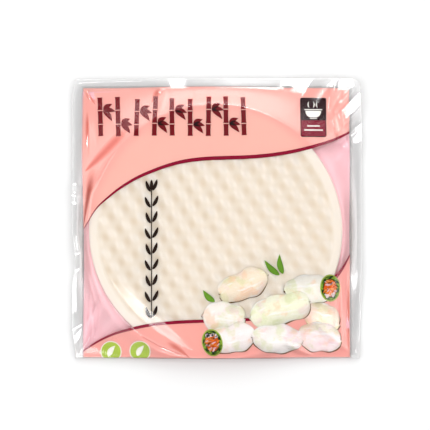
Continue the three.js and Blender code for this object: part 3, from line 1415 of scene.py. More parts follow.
@dataclass
class RicePaperStack:
    """Round rice papers: plain discs below, and a top one with the woven relief of its drying mat.

    Attributes:
        count: Papers in the stack.
        radius: A paper's radius.
        thickness: A paper's thickness.
        base: Height of the lowest paper's underside.
        top: Height of the top paper's smooth rim.
        rim: Width of the smooth rim.
        repeat: The weave's two repeats, across its ridges and along them.
        phase: The middle of one of its hollows, from the paper's middle.
        relief: Height of the weave.
        drift: How far the weave strays from straight rows.
        rim_fade: How far the weave takes to rise inside the rim.
        wear: How far the paper isn't flat.
        edge_drop: How far its edge is rounded down.
        edge_width: Width of that rounding.
        middle: The stack's middle.
        cells: Cells along each side of the top paper's grid.
        corners: Corners of a lower paper's outline.
        size_spread: How much smaller the smallest lower paper is.
        slack: How far a lower paper lies aside.
        ripple: How uneven its outline is.
        clearance: Gap between the lower papers and the hollows of the top one.
        seed: Seed of what is drawn at random.
    """

    count: int = 22
    radius: float = PAPER_RADIUS
    thickness: float = 0.5
    base: float = 0.5
    top: float = 12.2
    rim: float = 6.5
    repeat: tuple[Point, Point] = ((12.05, 6.95), (-6.95, 10.8))
    phase: Point = (2.85, 20.9)
    relief: float = 1.6
    drift: float = 0.8
    rim_fade: float = 3.0
    wear: float = 0.06
    edge_drop: float = 0.25
    edge_width: float = 0.8
    middle: Point = PAPER_MIDDLE
    cells: int = 196
    corners: int = 160
    size_spread: float = 0.5
    slack: float = 0.35
    ripple: float = 0.0012
    clearance: float = 0.1
    seed: int = 7

    def repeats(self, x: np.ndarray, y: np.ndarray) -> tuple[np.ndarray, np.ndarray]:
        """Places counted in repeats of the weave, across its ridges and along them, as angles.

        Args:
            x: Places across the paper from its middle.
            y: Places along it.

        Returns:
            Both angles.
        """
        to_repeats = np.linalg.inv(np.array(self.repeat).T)
        from_x = x - self.phase[0] + self.drift * np.sin(y / 19 + 0.7) * np.sin(x / 27)
        from_y = y - self.phase[1] + self.drift * np.sin(x / 23 + 2.0)
        across = to_repeats[0, 0] * from_x + to_repeats[0, 1] * from_y
        along = to_repeats[1, 0] * from_x + to_repeats[1, 1] * from_y
        return 2 * np.pi * across, 2 * np.pi * along

    def weave(self, across: np.ndarray, along: np.ndarray) -> np.ndarray:
        """Height of the weave, from 0 in its deepest hollows to 1: ridges that swell along their run."""
        return 0.5 + 0.44 * (np.sin(across) - 0.175 * np.sin(2 * across)) * (0.62 + 0.38 * np.cos(along))

    def build_top(self) -> bpy.types.Object:
        """Makes the top paper, a square grid drawn to a round one and lifted by the weave.

        Returns:
            The paper.
        """
        sheet, u, v = flat_grid("rice_paper_top", self.cells, self.cells)
        a, b = 2 * u - 1, 2 * v - 1
        x = a * np.sqrt(1 - b**2 / 2) * self.radius
        y = b * np.sqrt(1 - a**2 / 2) * self.radius
        from_edge = self.radius - np.hypot(x, y)
        inside = np.clip((from_edge - self.rim) / self.rim_fade, 0, 1)
        across, along = self.repeats(x, y)
        sunk = self.relief * (1 - self.weave(across, along)) * inside
        worn = self.wear * np.sin(x / 17 + 1) * np.sin(y / 13)
        edge = self.edge_drop * np.clip(1 - from_edge / self.edge_width, 0, 1) ** 2
        z = self.top - sunk - edge + worn * inside
        set_points(sheet, np.stack([x + self.middle[0], y + self.middle[1], z], -1))
        # painted shade: a mask halfway up the side of each ridge that faces away from the light
        flank_shade = np.clip(0.42 + np.cos(across) * (0.36 + 0.24 * np.cos(along)), 0, 1) * inside
        paint(sheet, "flank_shade", np.repeat(flank_shade, 4))
        thicken(sheet, self.thickness)
        return sheet

    def build_lower(self) -> bpy.types.Object:
        """Makes the papers below the top one, each a flat disc a paper thick with a soft rim, a little aside
        and wavy.

        Returns:
            The papers.
        """
        draw = np.random.default_rng(self.seed)
        pitch = (self.top - self.relief - self.thickness - self.clearance - self.base) / (self.count - 1)
        # on the unit disc: where its rim starts and how far in the faces' edge is, and both half heights
        rim_start, face_inset, rim_half, face_half = 0.985, 0.9965, 0.6, 0.46
        papers = []
        for k in range(self.count - 1):
            deselect_all()
            bpy.ops.mesh.primitive_cylinder_add(vertices=self.corners, radius=1, depth=1)
            disc = bpy.context.view_layer.objects.active
            bpy.ops.object.mode_set(mode="EDIT")
            bpy.ops.mesh.select_all(action="SELECT")
            bpy.ops.mesh.bevel(offset=0.3, offset_type="PERCENT", segments=1, affect="EDGES")
            bpy.ops.object.mode_set(mode="OBJECT")
            points = points_of(disc)
            turn = np.arctan2(points[:, 1], points[:, 0])
            radius = np.hypot(points[:, 0], points[:, 1])
            size = self.radius - draw.uniform(0, self.size_spread)
            ripple = 1 + self.ripple * np.sin(turn * draw.integers(2, 5) + draw.uniform(0, 6))
            shift = draw.uniform(-self.slack, self.slack, 2)
            inset = np.where(radius < rim_start, face_inset, 1)
            reach = np.where(radius > 0.5, inset * ripple * size, 0)
            x = self.middle[0] + shift[0] + reach * np.cos(turn)
            y = self.middle[1] + abs(shift[1]) / 2 + reach * np.sin(turn)
            half = np.where(radius > rim_start, points[:, 2] * rim_half, np.sign(points[:, 2]) * face_half)
            z = self.base + (k + 0.5 + half) * pitch
            set_points(disc, np.stack([x, y, z], -1))
            papers.append(disc)
        return join(papers, "rice_papers")

    def make(self, finishes: Finishes) -> None:
        """Builds and dresses the papers.

        Args:
            finishes: The pack's finishes.
        """
        dress(self.build_top(), finishes.paper)
        dress(self.build_lower(), finishes.paper)


# ---- the print ----

@dataclass
class PrintedFields:
    """The fields of colour: coral above and below the clear window, its two crimson edges, and the pink back.

    Attributes:
        left: x of the print's left edge over y.
        right: x of its right edge over y.
        top: y of its top edge over x.
        upper_wave: Height of the window's upper edge.
        lower_wave: Height of the window's lower edge.
        upper_width: Width of the upper crimson line.
        lower_width: Width of the lower crimson line.
        depth: Distance of the fields inside the film.
        line_depth: Distance of the lines.
        shaded_pleats: Darker coral along creases of the film, partly a doubled layer of ink and partly painted
            crease shade; each with its start, end, half width, profile, bow, colour and distance inside the
            film.
        pleat_edge: The colour that they fade to.
        pleat_thickness: Their thickness.
        thickness: The other prints' thickness.
        back_start: How far from the fold line the back print starts.
        back_top: How much lower than the front print it ends.
        back_spread: How far further out it goes at the left.
        back_height: Its height over the back film.
    """

    left: Curve = Curve(((-170, -116.3), (-115, -116.3), (-71, -115.8), (-27, -115.4), (16, -116.4),
                         (60, -117.6), (86, -117.2), (115, -116.7)))
    right: Curve = Curve(((-170, 115.8), (-71, 115.9), (-36, 115.6), (16, 115.7), (51, 115.9),
                          (86, 115.3), (115, 114.8)))
    top: Curve = Curve(((-118, 113.6), (-84, 113.8), (-32, 115.0), (20, 114.9), (72, 113.6), (103, 113.4),
                        (116, 112.6)))
    upper_wave: Curve = Curve(((-118, -13), (-113.4, -5.7), (-105.4, 7.2), (-93.3, 19.0), (-73.4, 32.9),
                               (-53.6, 41.9), (-33.7, 48.3), (-13.8, 51.4), (6.0, 52.4), (25.9, 53.1),
                               (45.8, 54.8), (65.2, 57.9), (85.2, 62.9), (105.7, 70.2), (116.5, 75.6)))
    lower_wave: Curve = Curve(((-118, -116.6), (-104.4, -107.5), (-93.8, -102.1), (-73.5, -95.4),
                               (-61.3, -92.7), (-47.5, -90.8), (-33.7, -89.7), (-16.4, -88.9), (15, -88.3),
                               (45, -84.5), (72, -75.5), (97.6, -55.7), (105.1, -48.0), (111, -39.8),
                               (116.5, -30.0)))
    upper_width: Curve = Curve(((-118, 0.8), (-93, 2.1), (-30, 3.1), (30, 3.2), (85, 2.8), (116, 2.0)))
    lower_width: Curve = Curve(((-118, 1.6), (-93, 2.1), (-60, 2.7), (15, 2.7), (72, 3.0), (98, 4.4),
                                (106, 4.6), (111, 3.4), (116, 2.0)))
    depth: float = 0.8
    line_depth: float = 0.66
    # darker coral tints in the film's creases, darkest in the wedge down the left edge: painted crease shade,
    # partly a doubled layer of ink
    shaded_pleats: tuple[tuple[Point, Point, float, Profile, float, Colour, float], ...] = (
        ((-74, 82), (-114.8, 41), 4.8, Profile.GRAIN, 0.6, linear(219, 128, 117), 0.7),
        ((-106.6, 43.5), (-116.0, -8), 5.4, Profile.WEDGE, -0.8, linear(186, 82, 66), 0.75),
        ((-114.3, 112.4), (-106, 99), 2.8, Profile.LEAF, 0.0, linear(218, 130, 118), 0.73),
        ((-49.5, 114), (-57, 101), 3.4, Profile.LEAF, 0.0, linear(218, 130, 118), 0.73),
        ((-113.3, 94), (-114.3, 62), 2.0, Profile.LEAF, 0.6, linear(222, 136, 124), 0.73),
        ((-45, -106), (-23, -121), 2.6, Profile.LEAF, 0.8, linear(220, 132, 120), 0.73),
        ((114.6, -44), (114.8, -118), 1.2, Profile.LEAF, 0.0, linear(222, 136, 124), 0.73),
    )
    pleat_edge: Colour = linear(249, 188, 178)
    pleat_thickness: float = 0.015
    thickness: float = 0.05
    back_start: float = 1.6
    back_top: float = 3.2
    back_spread: float = 0.6
    back_height: float = 0.1

    def across(self, u: np.ndarray, y: np.ndarray) -> np.ndarray:
        """x at a share of the way between the print's side edges."""
        left, right = self.left.at(y), self.right.at(y)
        return left + (right - left) * u

    def between(self, low: Callable[[np.ndarray], np.ndarray], high: Callable[[np.ndarray], np.ndarray]
                ) -> Plan:
        """The plan of a field that is ruled between two curves and ends at the print's side edges.

        Args:
            low: The lower curve, y over x.
            high: The upper curve.

        Returns:
            A function from u and v to x and y.
        """
        def plan(u: np.ndarray, v: np.ndarray) -> tuple[np.ndarray, np.ndarray]:
            """Places points of the field.

            Args:
                u: Shares of the way between the side edges.
                v: Shares of the way between the curves.

            Returns:
                x and y.
            """
            x = self.across(u, np.zeros_like(u))
            for _ in range(3):
                y = low(x) + (high(x) - low(x)) * v
                x = self.across(u, y)
            return x, low(x) + (high(x) - low(x)) * v
        return plan

    def line(self, name: str, wave: Curve, width: Curve) -> bpy.types.Object:
        """A crimson line along one wave.

        Args:
            name: The piece's name.
            wave: The line's middle.
            width: Its width.

        Returns:
            The piece.
        """
        def low(x: np.ndarray) -> np.ndarray:
            """The line's lower edge."""
            return wave.at(x) - width.at(x) / 2

        def high(x: np.ndarray) -> np.ndarray:
            """Its upper edge."""
            return wave.at(x) + width.at(x) / 2
        return ruled_print(name, 300, 4, self.line_depth, self.thickness, self.between(low, high))

    def end_of_print(self, x: np.ndarray) -> np.ndarray:
        """Where the coral ends on the flap, in the unfolded film."""
        edge = FORM.front(x, np.full_like(x, FORM.fold_line + TINY))
        return FORM.fold_line - edge - (FLAP.length - FLAP.seal)

    def build_back(self) -> bpy.types.Object:
        """Makes the pink field inside the back film.

        Returns:
            The piece.
        """
        sheet, u, v = flat_grid("back_print", 120, 120)
        low, high = FORM.fold_line + self.back_start, self.top.at(np.zeros_like(u))
        y = low + (high - low) * v
        x = self.across(u, y)
        y = low + (self.top.at(x) - self.back_top - low) * v
        x = np.where(u < 0.5, x - self.back_spread * (1 - 2 * u), x)
        column = FORM.column_of(x, y)
        reach = np.hypot(x - FORM.middle[0], y - FORM.middle[1]) - FORM.radius
        gap = FORM.along(FORM.gap, column)
        down = FORM.to_seal(np.clip(reach / gap, 0, 1), gap, FORM.along(FORM.seal, column))
        z = FORM.along(FORM.back_edge, column) * down**FORM.back_lift_power
        z = z + FLAP.lift(y - FORM.fold_line) + self.back_height
        set_points(sheet, np.stack([x, y, z], -1))
        thicken(sheet, self.thickness)
        return sheet

    def make(self, finishes: Finishes) -> None:
        """Builds and dresses the fields.

        Args:
            finishes: The pack's finishes.
        """
        upper = ruled_print("coral_top", 240, 110, self.depth, self.thickness,
                            self.between(self.upper_wave.at, self.top.at))
        lower = ruled_print("coral_bottom", 240, 130, self.depth, self.thickness,
                            self.between(self.end_of_print, self.lower_wave.at))
        dress(upper, finishes.coral)
        dress(lower, finishes.shaded_low_coral)
        for name, wave, width in (("wave_line_top", self.upper_wave, self.upper_width),
                                  ("wave_line_bottom", self.lower_wave, self.lower_width)):
            dress(self.line(name, wave, width), finishes.crimson)
        dress(self.build_back(), finishes.back)
        # darker coral along the creases: painted crease shade, partly a doubled layer of ink
        shaded_pleats = [Shape(start, end, half_width, profile, bow, colour, (40, 10), depth, edge=self.pleat_edge)
                  for start, end, half_width, profile, bow, colour, depth in self.shaded_pleats]
        dress(printed("coral_pleats_shade", shaded_pleats, self.pleat_thickness), finishes.pleat_shade)


@dataclass
class BambooFrieze:
    """A row of bamboo stalks with hanging leaves, in the place of a heading.

    Attributes:
        left: x of the first stalk's foot.
        right: x of the last stalk's foot.
        low: y of the row's foot.
        high: y of its top.
        stalks: How many stalks there are.
        half_width: Half a stalk's width.
        knots: The stalk's knots, as shares of its height.
        gap: The bare gap at a knot.
        lean: How far the top of a stalk leans aside at most.
        leaf_half_width: Half a leaf's width.
        leaf_depth: Distance of the leaves inside the film.
        leaves: Each leaf's drop in degrees and its length, at one knot.
        seed: Seed of what is drawn at random.
    """

    left: float = -101.0
    right: float = 23.5
    low: float = 70.8
    high: float = 106.4
    stalks: int = 9
    half_width: float = 2.25
    knots: tuple[float, ...] = (0.0, 0.31, 0.66, 1.0)
    gap: float = 0.9
    lean: float = 1.6
    leaf_half_width: float = 2.1
    leaf_depth: float = 0.36
    leaves: tuple[Point, ...] = ((-32, 9.6), (8, 10.6), (46, 12.4))
    seed: int = 11

    def shapes(self) -> list[Shape]:
        """Places every stalk segment and leaf.

        Returns:
            Their shapes.
        """
        draw = np.random.default_rng(self.seed)
        made = []
        pitch = (self.right - self.left) / (self.stalks - 1)
        for k in range(self.stalks):
            foot = self.left + k * pitch
            lean = draw.uniform(-self.lean, self.lean)
            start = self.low + draw.uniform(0, 0.8)
            tall = (self.high - self.low) * draw.uniform(0.93, 1.0)

            def place(share: float) -> Point:
                """A place up the stalk."""
                return (foot + lean * share, start + tall * share)
            inset = self.gap / 2 / tall
            for low, high in zip(self.knots, self.knots[1:]):
                made.append(Shape(place(low + inset), place(high - inset), self.half_width, Profile.STALK,
                                  cells=(14, 4)))
            if k == self.stalks - 1:
                continue
            knot, reach = (place(self.knots[2]), 1.0) if k % 2 == 0 else (place(self.knots[1]), 0.94)
            root = (knot[0] + self.half_width + 0.5, knot[1])
            for drop, length in self.leaves:
                angle = math.radians(drop + draw.uniform(-5, 5))
                tip = (root[0] + reach * length * math.cos(angle), root[1] - reach * length * math.sin(angle))
                made.append(Shape(root, tip, self.leaf_half_width, Profile.LEAF, bow=0.9, cells=(16, 5),
                                  depth=self.leaf_depth))
        return made

    def make(self, finishes: Finishes) -> None:
        """Builds and dresses the frieze.

        Args:
            finishes: The pack's finishes.
        """
        dress(printed("bamboo_frieze", self.shapes()), finishes.frieze)


@dataclass
class RiceEar:
    """An upright ear of rice, in the place of a second heading.

    Attributes:
        x: Where the stem stands.
        low: y of its foot.
        high: y of its top.
        pairs: How many pairs of grains it has.
        grain_length: A grain's length.
        grain_half_width: Half its width.
        grain_leans: How far the grains of one pair and the next lean out, in degrees.
        stem_half_width: Half the stem's width.
        stem_depth: Distance of the stem inside the film.
        tip_length: Length of the grain at the top.
    """

    x: float = -56.6
    low: float = -86.0
    high: float = 33.5
    pairs: int = 9
    grain_length: float = 10.4
    grain_half_width: float = 1.5
    grain_leans: Point = (22.0, 27.0)
    stem_half_width: float = 0.45
    stem_depth: float = 0.36
    tip_length: float = 9.0

    def shapes(self) -> list[Shape]:
        """Places the stem and its grains.

        Returns:
            Their shapes.
        """
        made = [Shape((self.x, self.low), (self.x, self.high - self.tip_length + 1), self.stem_half_width,
                      Profile.BAR, cells=(120, 1), depth=self.stem_depth)]
        pitch = (self.high - self.low - self.grain_length) / (self.pairs - 1)
        for k in range(self.pairs):
            foot = self.low + k * pitch
            lean = math.radians(self.grain_leans[k % 2])
            for side in (-1, 1):
                start = (self.x + side * 0.9, foot + (0 if side < 0 else 1.1))
                tip = (start[0] + side * self.grain_length * math.sin(lean),
                       start[1] + self.grain_length * math.cos(lean))
                made.append(Shape(start, tip, self.grain_half_width, Profile.GRAIN, bow=-side * 0.5,
                                  cells=(12, 4)))
        made.append(Shape((self.x, self.high - self.tip_length), (self.x, self.high), self.grain_half_width,
                          Profile.GRAIN, cells=(12, 4)))
        return made

    def make(self, finishes: Finishes) -> None:
        """Builds and dresses the ear.

        Args:
            finishes: The pack's finishes.
        """
        dress(printed("rice_ear", self.shapes()), finishes.dark)


@dataclass
class BowlBadge:
    """A dark panel with a plain steaming bowl over a crimson field with two bars.

    Attributes:
        left: x of the panel's left edge.
        right: x of its right edge.
        low: y of its lower edge.
        high: y of its upper edge.
        corner: Radius of its corners.
        depth: Its distance inside the film.
        field_rise: How much nearer to the film the crimson field is.
        picture_rise: How much nearer the picture is.
        field_height: Height of the crimson field's top over the panel's lower edge.
        border: Width of the panel's border beside the field, and of the one below it.
        thickness: The panel's thickness.
    """

    left: float = 72.3
    right: float = 95.0
    low: float = 70.6
    high: float = 105.0
    corner: float = 1.6
    depth: float = 0.42
    field_rise: float = 0.08
    picture_rise: float = 0.16
    field_height: float = 14.6
    border: Point = (0.6, 0.6)
    thickness: float = 0.03

    def rounded(self, u: np.ndarray, v: np.ndarray) -> tuple[np.ndarray, np.ndarray]:
        """Places points of the panel, so that its corners are round.

        Args:
            u: Shares of its width.
            v: Shares of its height.

        Returns:
            x and y.
        """
        half_x, half_y = (self.right - self.left) / 2, (self.high - self.low) / 2
        x, y = (2 * u - 1) * half_x, (2 * v - 1) * half_y
        out_x = np.maximum(np.abs(x) - (half_x - self.corner), 0)
        out_y = np.maximum(np.abs(y) - (half_y - self.corner), 0)
        drawn = np.maximum(out_x, out_y) / np.maximum(np.hypot(out_x, out_y), TINY)
        x = np.sign(x) * (np.abs(x) - out_x * (1 - drawn))
        y = np.sign(y) * (np.abs(y) - out_y * (1 - drawn))
        return (self.right + self.left) / 2 + x, (self.high + self.low) / 2 + y

    def build_panel(self) -> bpy.types.Object:
        """Makes the panel."""
        return ruled_print("badge_panel", 30, 44, self.depth, self.thickness, self.rounded)

    def picture(self) -> list[Shape]:
        """Places the bowl, its rim, its foot and its steam, and two bars below them.

        Returns:
            Their shapes.
        """
        x, y = (self.left + self.right) / 2, self.low + 17.2
        depth = self.depth - self.picture_rise
        made = [
            Shape((x, y), (x, y + 5.8), 7.0, Profile.BOWL, cells=(10, 12), depth=depth),
            Shape((x - 8.0, y + 6.8), (x + 8.0, y + 6.8), 0.5, Profile.BAR, cells=(16, 1), depth=depth),
            Shape((x - 3.2, y - 0.9), (x + 3.2, y - 0.9), 0.45, Profile.BAR, cells=(8, 1), depth=depth),
        ]
        for aside, bow in ((-3.6, 0.9), (0.0, -0.9), (3.6, 0.9)):
            made.append(Shape((x + aside, y + 8.4), (x + aside, y + 14.2), 0.6, Profile.LEAF, bow=bow,
                              cells=(12, 3), depth=depth))
        for reach, y in ((5.6, self.low + 9.6), (8.2, self.low + 6.0)):
            made.append(Shape((x - reach, y), (x + reach, y), 0.7, Profile.BAR, cells=(16, 1), depth=depth))
        return made

    def crimson_field(self) -> Shape:
        """Places the field behind the bars.

        Returns:
            Its shape.
        """
        aside, below = self.border
        half = (self.field_height - below) / 2
        middle = self.low + below + half
        return Shape((self.left + aside, middle), (self.right - aside, middle), half, Profile.BAR,
                     cells=(24, 16), depth=self.depth - self.field_rise)

    def make(self, finishes: Finishes) -> None:
        """Builds and dresses the badge.

        Args:
            finishes: The pack's finishes.
        """
        dress(self.build_panel(), finishes.badge)
        dress(printed("badge_bowl", self.picture()), finishes.white)
        dress(printed("badge_field", [self.crimson_field()]), finishes.badge_field)


@dataclass
class GreenDiscs:
    """Two green discs with a white leaf, which the bottom fold cuts.

    Attributes:
        middles: The discs' middles.
        radius: A disc's radius.
        ring: Width of the white ring round it.
        depth: Distance of the rings inside the film.
        rise: How much nearer to the film each further layer is.
        leaf: The leaf's start and end, from the disc's middle.
        leaf_half_width: Half the leaf's width.
    """

    middles: tuple[Point, ...] = ((-92.2, -115.9), (-66.8, -115.2))
    radius: float = 8.5
    ring: float = 0.9
    depth: float = 0.46
    rise: float = 0.08
    leaf: tuple[Point, Point] = ((-2.6, -4.2), (3.4, 5.2))
    leaf_half_width: float = 2.5

    def discs(self, radius: float, depth: float) -> list[Shape]:
        """Places a round shape on each middle.

        Args:
            radius: Its radius.
            depth: Its distance inside the film.

        Returns:
            The shapes.
        """
        return [Shape((x - radius, y), (x + radius, y), radius, Profile.DISC, cells=(36, 24), depth=depth)
                for x, y in self.middles]

    def leaves(self) -> list[Shape]:
        """Places a leaf on each disc.

        Returns:
            The leaves.
        """
        start, end = self.leaf
        return [Shape((x + start[0], y + start[1]), (x + end[0], y + end[1]), self.leaf_half_width,
                      Profile.LEAF, bow=0.8, cells=(16, 6), depth=self.depth - 2 * self.rise)
                for x, y in self.middles]

    def make(self, finishes: Finishes) -> None:
        """Builds and dresses the discs.

        Args:
            finishes: The pack's finishes.
        """
        dress(printed("disc_rings", self.discs(self.radius + self.ring, self.depth)), finishes.white)
        dress(printed("green_discs", self.discs(self.radius, self.depth - self.rise)), finishes.green)
        dress(printed("disc_leaves", self.leaves()), finishes.white)


@dataclass(frozen=True)
class Roll:
    """A printed summer roll.

    Attributes:
        start: Where it starts.
        end: Where it ends.
        half_width: Half its width.
        tint: Its colour.
        layer: Its layer in the pile, counted from the back.
        cut: Whether its start is cut open.
    """

    start: Point
    end: Point
    half_width: float
    tint: Colour
    layer: int
    cut: bool = False


@dataclass
class SummerRolls:
    """A serving picture: pale rolls in a loose pile, two of them cut open, and a few leaves of herb.

    Attributes:
        depth: Distance of the lowest layer inside the film.
        step: How much nearer to the film each further layer is.
        ripple: How uneven a roll's outline is.
        ink: The print's thickness.
        shade_shift: How far a roll's shade lies aside and below.
        shade_share: The shade's width, of the roll's.
        herb_half_width: Half a herb leaf's width.
        herb_layer: The herbs' layer.
        face_rise: How much nearer than its roll a cut face is.
        face_step: How much nearer each layer of the face is.
        face_squeeze: How narrow the face looks along its roll.
        face_middle: Its middle, from the roll's start.
        rolls: The rolls.
        herbs: Each leaf's root and tip.
    """

    depth: float = 0.62
    step: float = 0.075
    ripple: float = 0.85
    ink: float = 0.015
    shade_shift: Point = (0.2, -0.9)
    shade_share: float = 0.98
    herb_half_width: float = 2.6
    herb_layer: float = 2.6
    face_rise: float = 0.035
    face_step: float = 0.03
    face_squeeze: float = 0.76
    face_middle: float = 3.0
    rolls: tuple[Roll, ...] = (
        Roll((2, -66), (44, -49), 12.0, linear(250, 238, 220), 0),
        Roll((101, -60), (58, -63), 12.5, linear(250, 246, 238), 1, True),
        Roll((-13, -84), (24, -86), 12.5, linear(252, 246, 240), 2),
        Roll((107, -92), (76, -80), 12.0, linear(252, 234, 218), 2),
        Roll((28, -86), (80, -72), 13.0, linear(248, 247, 228), 3),
        Roll((-7, -108), (34, -99), 12.0, linear(252, 244, 242), 4, True),
        Roll((108, -106), (70, -100), 12.5, linear(252, 238, 238), 4),
        Roll((30, -103), (74, -105), 12.0, linear(252, 247, 244), 5),
    )
    herbs: tuple[tuple[Point, Point], ...] = (
        ((54, -49), (41, -36)), ((57, -48), (54, -31)), ((-2, -72), (-12, -62)),
    )

    def body(self, roll: Roll) -> Shape:
        """The roll's wrapper."""
        return Shape(roll.start, roll.end, roll.half_width, Profile.ROLL, tint=roll.tint, cells=(46, 26),
                     depth=self.depth - self.step * roll.layer, ripple=self.ripple)

    def shadow(self, roll: Roll) -> Shape:
        """Places the dark line under a roll.

        Args:
            roll: The roll.

        Returns:
            The line, as a shape behind the roll that stands out a little.
        """
        aside, up = self.shade_shift
        start, end = ((x + aside, y + up) for x, y in (roll.start, roll.end))
        return Shape(start, end, roll.half_width * self.shade_share, Profile.ROLL, cells=(46, 22),
                     depth=self.depth - self.step * (roll.layer - 0.5), ripple=self.ripple)

    def cut_face(self, roll: Roll) -> list[Shape]:
        """Places the leaf ring and the filling of a cut end, a disc that is seen aslant.

        Args:
            roll: The cut roll.

        Returns:
            Their shapes, from the back to the front.
        """
        run = np.subtract(roll.end, roll.start) / math.dist(roll.end, roll.start)
        base = self.depth - self.step * roll.layer - self.face_rise
        full_turn = 2 * math.pi
        ring_count, filling_count, noodle_count = 22, 40, 9
        leaf_greens = (linear(156, 194, 64), linear(34, 66, 20), linear(108, 154, 42))
        filling_tints = (linear(250, 146, 58), linear(242, 116, 34), linear(252, 176, 96),
                         linear(244, 206, 210))
        noodle_tint = linear(250, 232, 236)

        def spot(angle: float, reach: float) -> Point:
            """Finds a place on the face.

            Args:
                angle: Its direction from the face's middle.
                reach: Its distance from there.

            Returns:
                The place.
            """
            along = self.face_middle + self.face_squeeze * reach * math.cos(angle)
            aside = reach * math.sin(angle)
            return (roll.start[0] + run[0] * along - run[1] * aside,
                    roll.start[1] + run[1] * along + run[0] * aside)

        def disc(radius: float, tint: Colour, layer: float) -> Shape:
            """A round field of the face."""
            return Shape(spot(math.pi, radius), spot(0, radius), radius, Profile.DISC, tint=tint,
                         cells=(30, 24), depth=base - self.face_step * layer)

        def scrap(angle: float, reach: float, turn: float, half: float, width: float, profile: Profile,
                  tint: Colour, layer: float) -> Shape:
            """Places a small piece of filling.

            Args:
                angle: Its direction from the face's middle.
                reach: Its distance from there.
                turn: The direction it points in.
                half: Half its length.
                width: Half its width.
                profile: Its outline.
                tint: Its colour.
                layer: Its layer in the face.

            Returns:
                Its shape.
            """
            x, y = spot(angle, reach)
            aside, up = half * math.cos(turn), half * math.sin(turn)
            return Shape((x - aside, y - up), (x + aside, y + up), width, profile, tint=tint, cells=(9, 4),
                         depth=base - self.face_step * layer)
        draw = np.random.default_rng(int(abs(roll.start[0] * 10) + 3))
        slant = math.atan2(run[1], run[0])
        made = [disc(11.8, linear(186, 208, 92), 0), disc(10.6, linear(48, 84, 26), 1),
                disc(7.6, linear(214, 100, 34), 2)]
        for k in range(ring_count):
            angle = full_turn * k / ring_count
            made.append(scrap(angle, 9.4, slant + angle + math.pi / 2 + draw.uniform(-0.6, 0.6), 2.3, 0.8,
                              Profile.LEAF, leaf_greens[k % 3], 2))
        for k in range(filling_count):
            made.append(scrap(draw.uniform(0, full_turn), 6.9 * math.sqrt(draw.uniform(0, 1)),
                              draw.uniform(-0.6, 1.2), draw.uniform(1.5, 2.8), draw.uniform(0.5, 0.8),
                              Profile.GRAIN, filling_tints[k % 4], 3 + 0.4 * (k % 3)))
        for _ in range(noodle_count):
            made.append(scrap(draw.uniform(0.6, 2.4), draw.uniform(6.0, 8.5), draw.uniform(0, 3), 1.6, 1.0,
                              Profile.GRAIN, noodle_tint, 4.4))
        return made

    def make(self, finishes: Finishes) -> None:
        """Builds and dresses the picture.

        Args:
            finishes: The pack's finishes.
        """
        bodies = [self.body(roll) for roll in self.rolls]
        shadows = [self.shadow(roll) for roll in self.rolls]
        cut = [shape for roll in self.rolls if roll.cut for shape in self.cut_face(roll)]
        leaves = [Shape(root, tip, self.herb_half_width, Profile.LEAF, bow=1.2, tint=linear(120, 168, 52),
                        cells=(20, 8), depth=self.depth - self.herb_layer * self.step)
                  for root, tip in self.herbs]
        dress(printed("roll_shadows", shadows, self.ink), finishes.shade)
        dress(printed("roll_wrappers", bodies, self.ink), finishes.wrapper)
        dress(printed("roll_fillings", cut + leaves, self.ink), finishes.filling)


# ---- floor, light and camera ----

def toward(azimuth: float, height: float) -> tuple[float, float, float]:
    """A direction from the pack.

    Args:
        azimuth: Its turn round the pack, from +X towards +Y, in degrees.
        height: Its angle above the floor, in degrees.

    Returns:
        The direction, of unit length.
    """
    a, h = math.radians(azimuth), math.radians(height)
    return math.cos(h) * math.cos(a), math.cos(h) * math.sin(a), math.sin(h)


@dataclass(frozen=True)
class SoftLight:
    """A square soft light that faces the pack.

    Attributes:
        name: The light's name.
        azimuth: Its direction round the pack, from +X towards +Y, in degrees.
        height: Its angle above the floor, in degrees.
        distance: Its distance in metres.
        size: Its side in metres.
        power: Its power in watts.
    """

    name: str
    azimuth: float
    height: float
    distance: float
    size: float
    power: float

    def add(self) -> None:
        """Places the light."""
        deselect_all()
        place = tuple(self.distance * share for share in toward(self.azimuth, self.height))
        bpy.ops.object.light_add(type="AREA", location=place)
        light = added(self.name)
        light.data.size = self.size
        light.data.energy = self.power
        light.rotation_euler = (math.radians(90 - self.height), 0, math.radians(self.azimuth + 90))


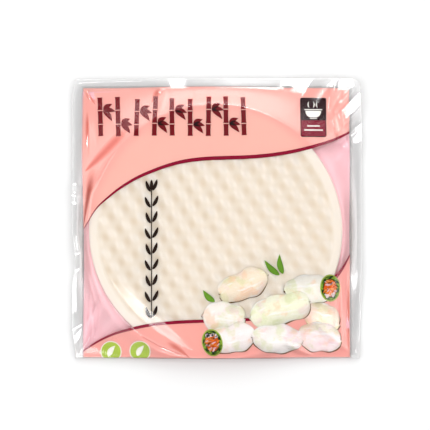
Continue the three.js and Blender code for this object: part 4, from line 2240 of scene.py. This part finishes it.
@dataclass
class Studio:
    """A pale floor, soft light from above and a camera straight over the pack.

    Attributes:
        camera_at: The camera's place in millimetres.
        lens: Its focal length in millimetres.
        sensor: Its sensor's width in millimetres.
        lights: The soft lights.
        sky: The even light's share of its strength, over the sine of its height.
        sky_strength: Its strength.
        glows: Broad soft lights in the sky: azimuth and height in degrees, strength, and how narrow they are.
        floor_tone: The floor's white.
        floor_size: The floor's side in metres.
        floor_drop: How far it lies below the pack, in metres.
    """

    camera_at: tuple[float, float, float] = (-1.74, 3.0, 1200.0)
    lens: float = 115.0
    sensor: float = 36.0
    lights: tuple[SoftLight, ...] = (
        SoftLight("key_light", 80, 74, 1.8, 0.3, 8.0),
        SoftLight("low_light", 234, 74, 1.8, 0.32, 3.6),
    )
    sky: tuple[Point, ...] = ((0.0, 1.0), (0.35, 1.25), (0.7, 1.1), (0.84, 0.3), (0.97, 0.08))
    sky_strength: float = 0.72
    glows: tuple[tuple[float, float, float, float], ...] = (
        (88, 34, 3.9, 9), (200, 38, 2.9, 10), (-12, 38, 2.8, 10),
    )
    floor_tone: float = 0.55
    floor_size: float = 6.0
    floor_drop: float = 0.0002

    def add_floor(self) -> None:
        """Adds the floor."""
        deselect_all()
        bpy.ops.mesh.primitive_plane_add(size=self.floor_size, location=(0, 0, -self.floor_drop))
        floor = added("studio_floor")
        white, nodes, shader = Finish("floor_white").start()
        tone = self.floor_tone
        nodes.fill(shader, Base_Color=(tone, tone, tone, 1), Roughness=0.9)
        floor.data.materials.append(white)

    def add_sky(self) -> None:
        """Adds even light from all round, dimmer from straight above so that flat film stays clear."""
        world = bpy.context.scene.world or bpy.data.worlds.new("studio")
        bpy.context.scene.world = world
        world.use_nodes = True
        nodes = NodeTree(world.node_tree)
        direction = nodes.add("TexCoord").outputs["Generated"]
        ramp = nodes.add("ValToRGB", nodes.add("SeparateXYZ", direction).outputs["Z"])
        stops = ramp.color_ramp.elements
        stops[1].position = self.sky[-1][0]
        for height, _ in self.sky[1:-1]:
            stops.new(height)
        for stop, (_, share) in zip(stops, self.sky):
            stop.color = (share, share, share, 1)
        strength = nodes.math("MULTIPLY", ramp.outputs["Color"], self.sky_strength)
        for azimuth, height, glow, narrow in self.glows:
            facing = nodes.vector("DOT_PRODUCT", direction, toward(azimuth, height))
            lobe = nodes.math("POWER", nodes.math("MAXIMUM", facing, 0.0), narrow)
            strength = nodes.math("MULTIPLY_ADD", lobe, glow, strength)
        nodes.fill(world.node_tree.nodes["Background"], Color=WHITE, Strength=strength)

    def make(self) -> None:
        """Builds the floor, the lights and the camera."""
        self.add_floor()
        self.add_sky()
        for light in self.lights:
            light.add()
        deselect_all()
        place = tuple(c * MM for c in self.camera_at)
        bpy.ops.object.camera_add(location=place, rotation=(0, 0, 0))
        camera = added("Camera")
        camera.data.lens = self.lens
        camera.data.sensor_width = self.sensor
        bpy.context.scene.camera = camera
        bpy.context.scene.view_settings.view_transform = "Standard"


def main() -> None:
    """Builds the pack and its studio."""
    logging.basicConfig(level=logging.INFO, format="%(name)s: %(message)s")
    finishes = Finishes()
    Studio().make()
    RicePaperStack().make(finishes)
    PrintedFields().make(finishes)
    BambooFrieze().make(finishes)
    RiceEar().make(finishes)
    BowlBadge().make(finishes)
    GreenDiscs().make(finishes)
    SummerRolls().make(finishes)
    FilmBag().make(finishes)


if __name__ == "__main__":
    main()
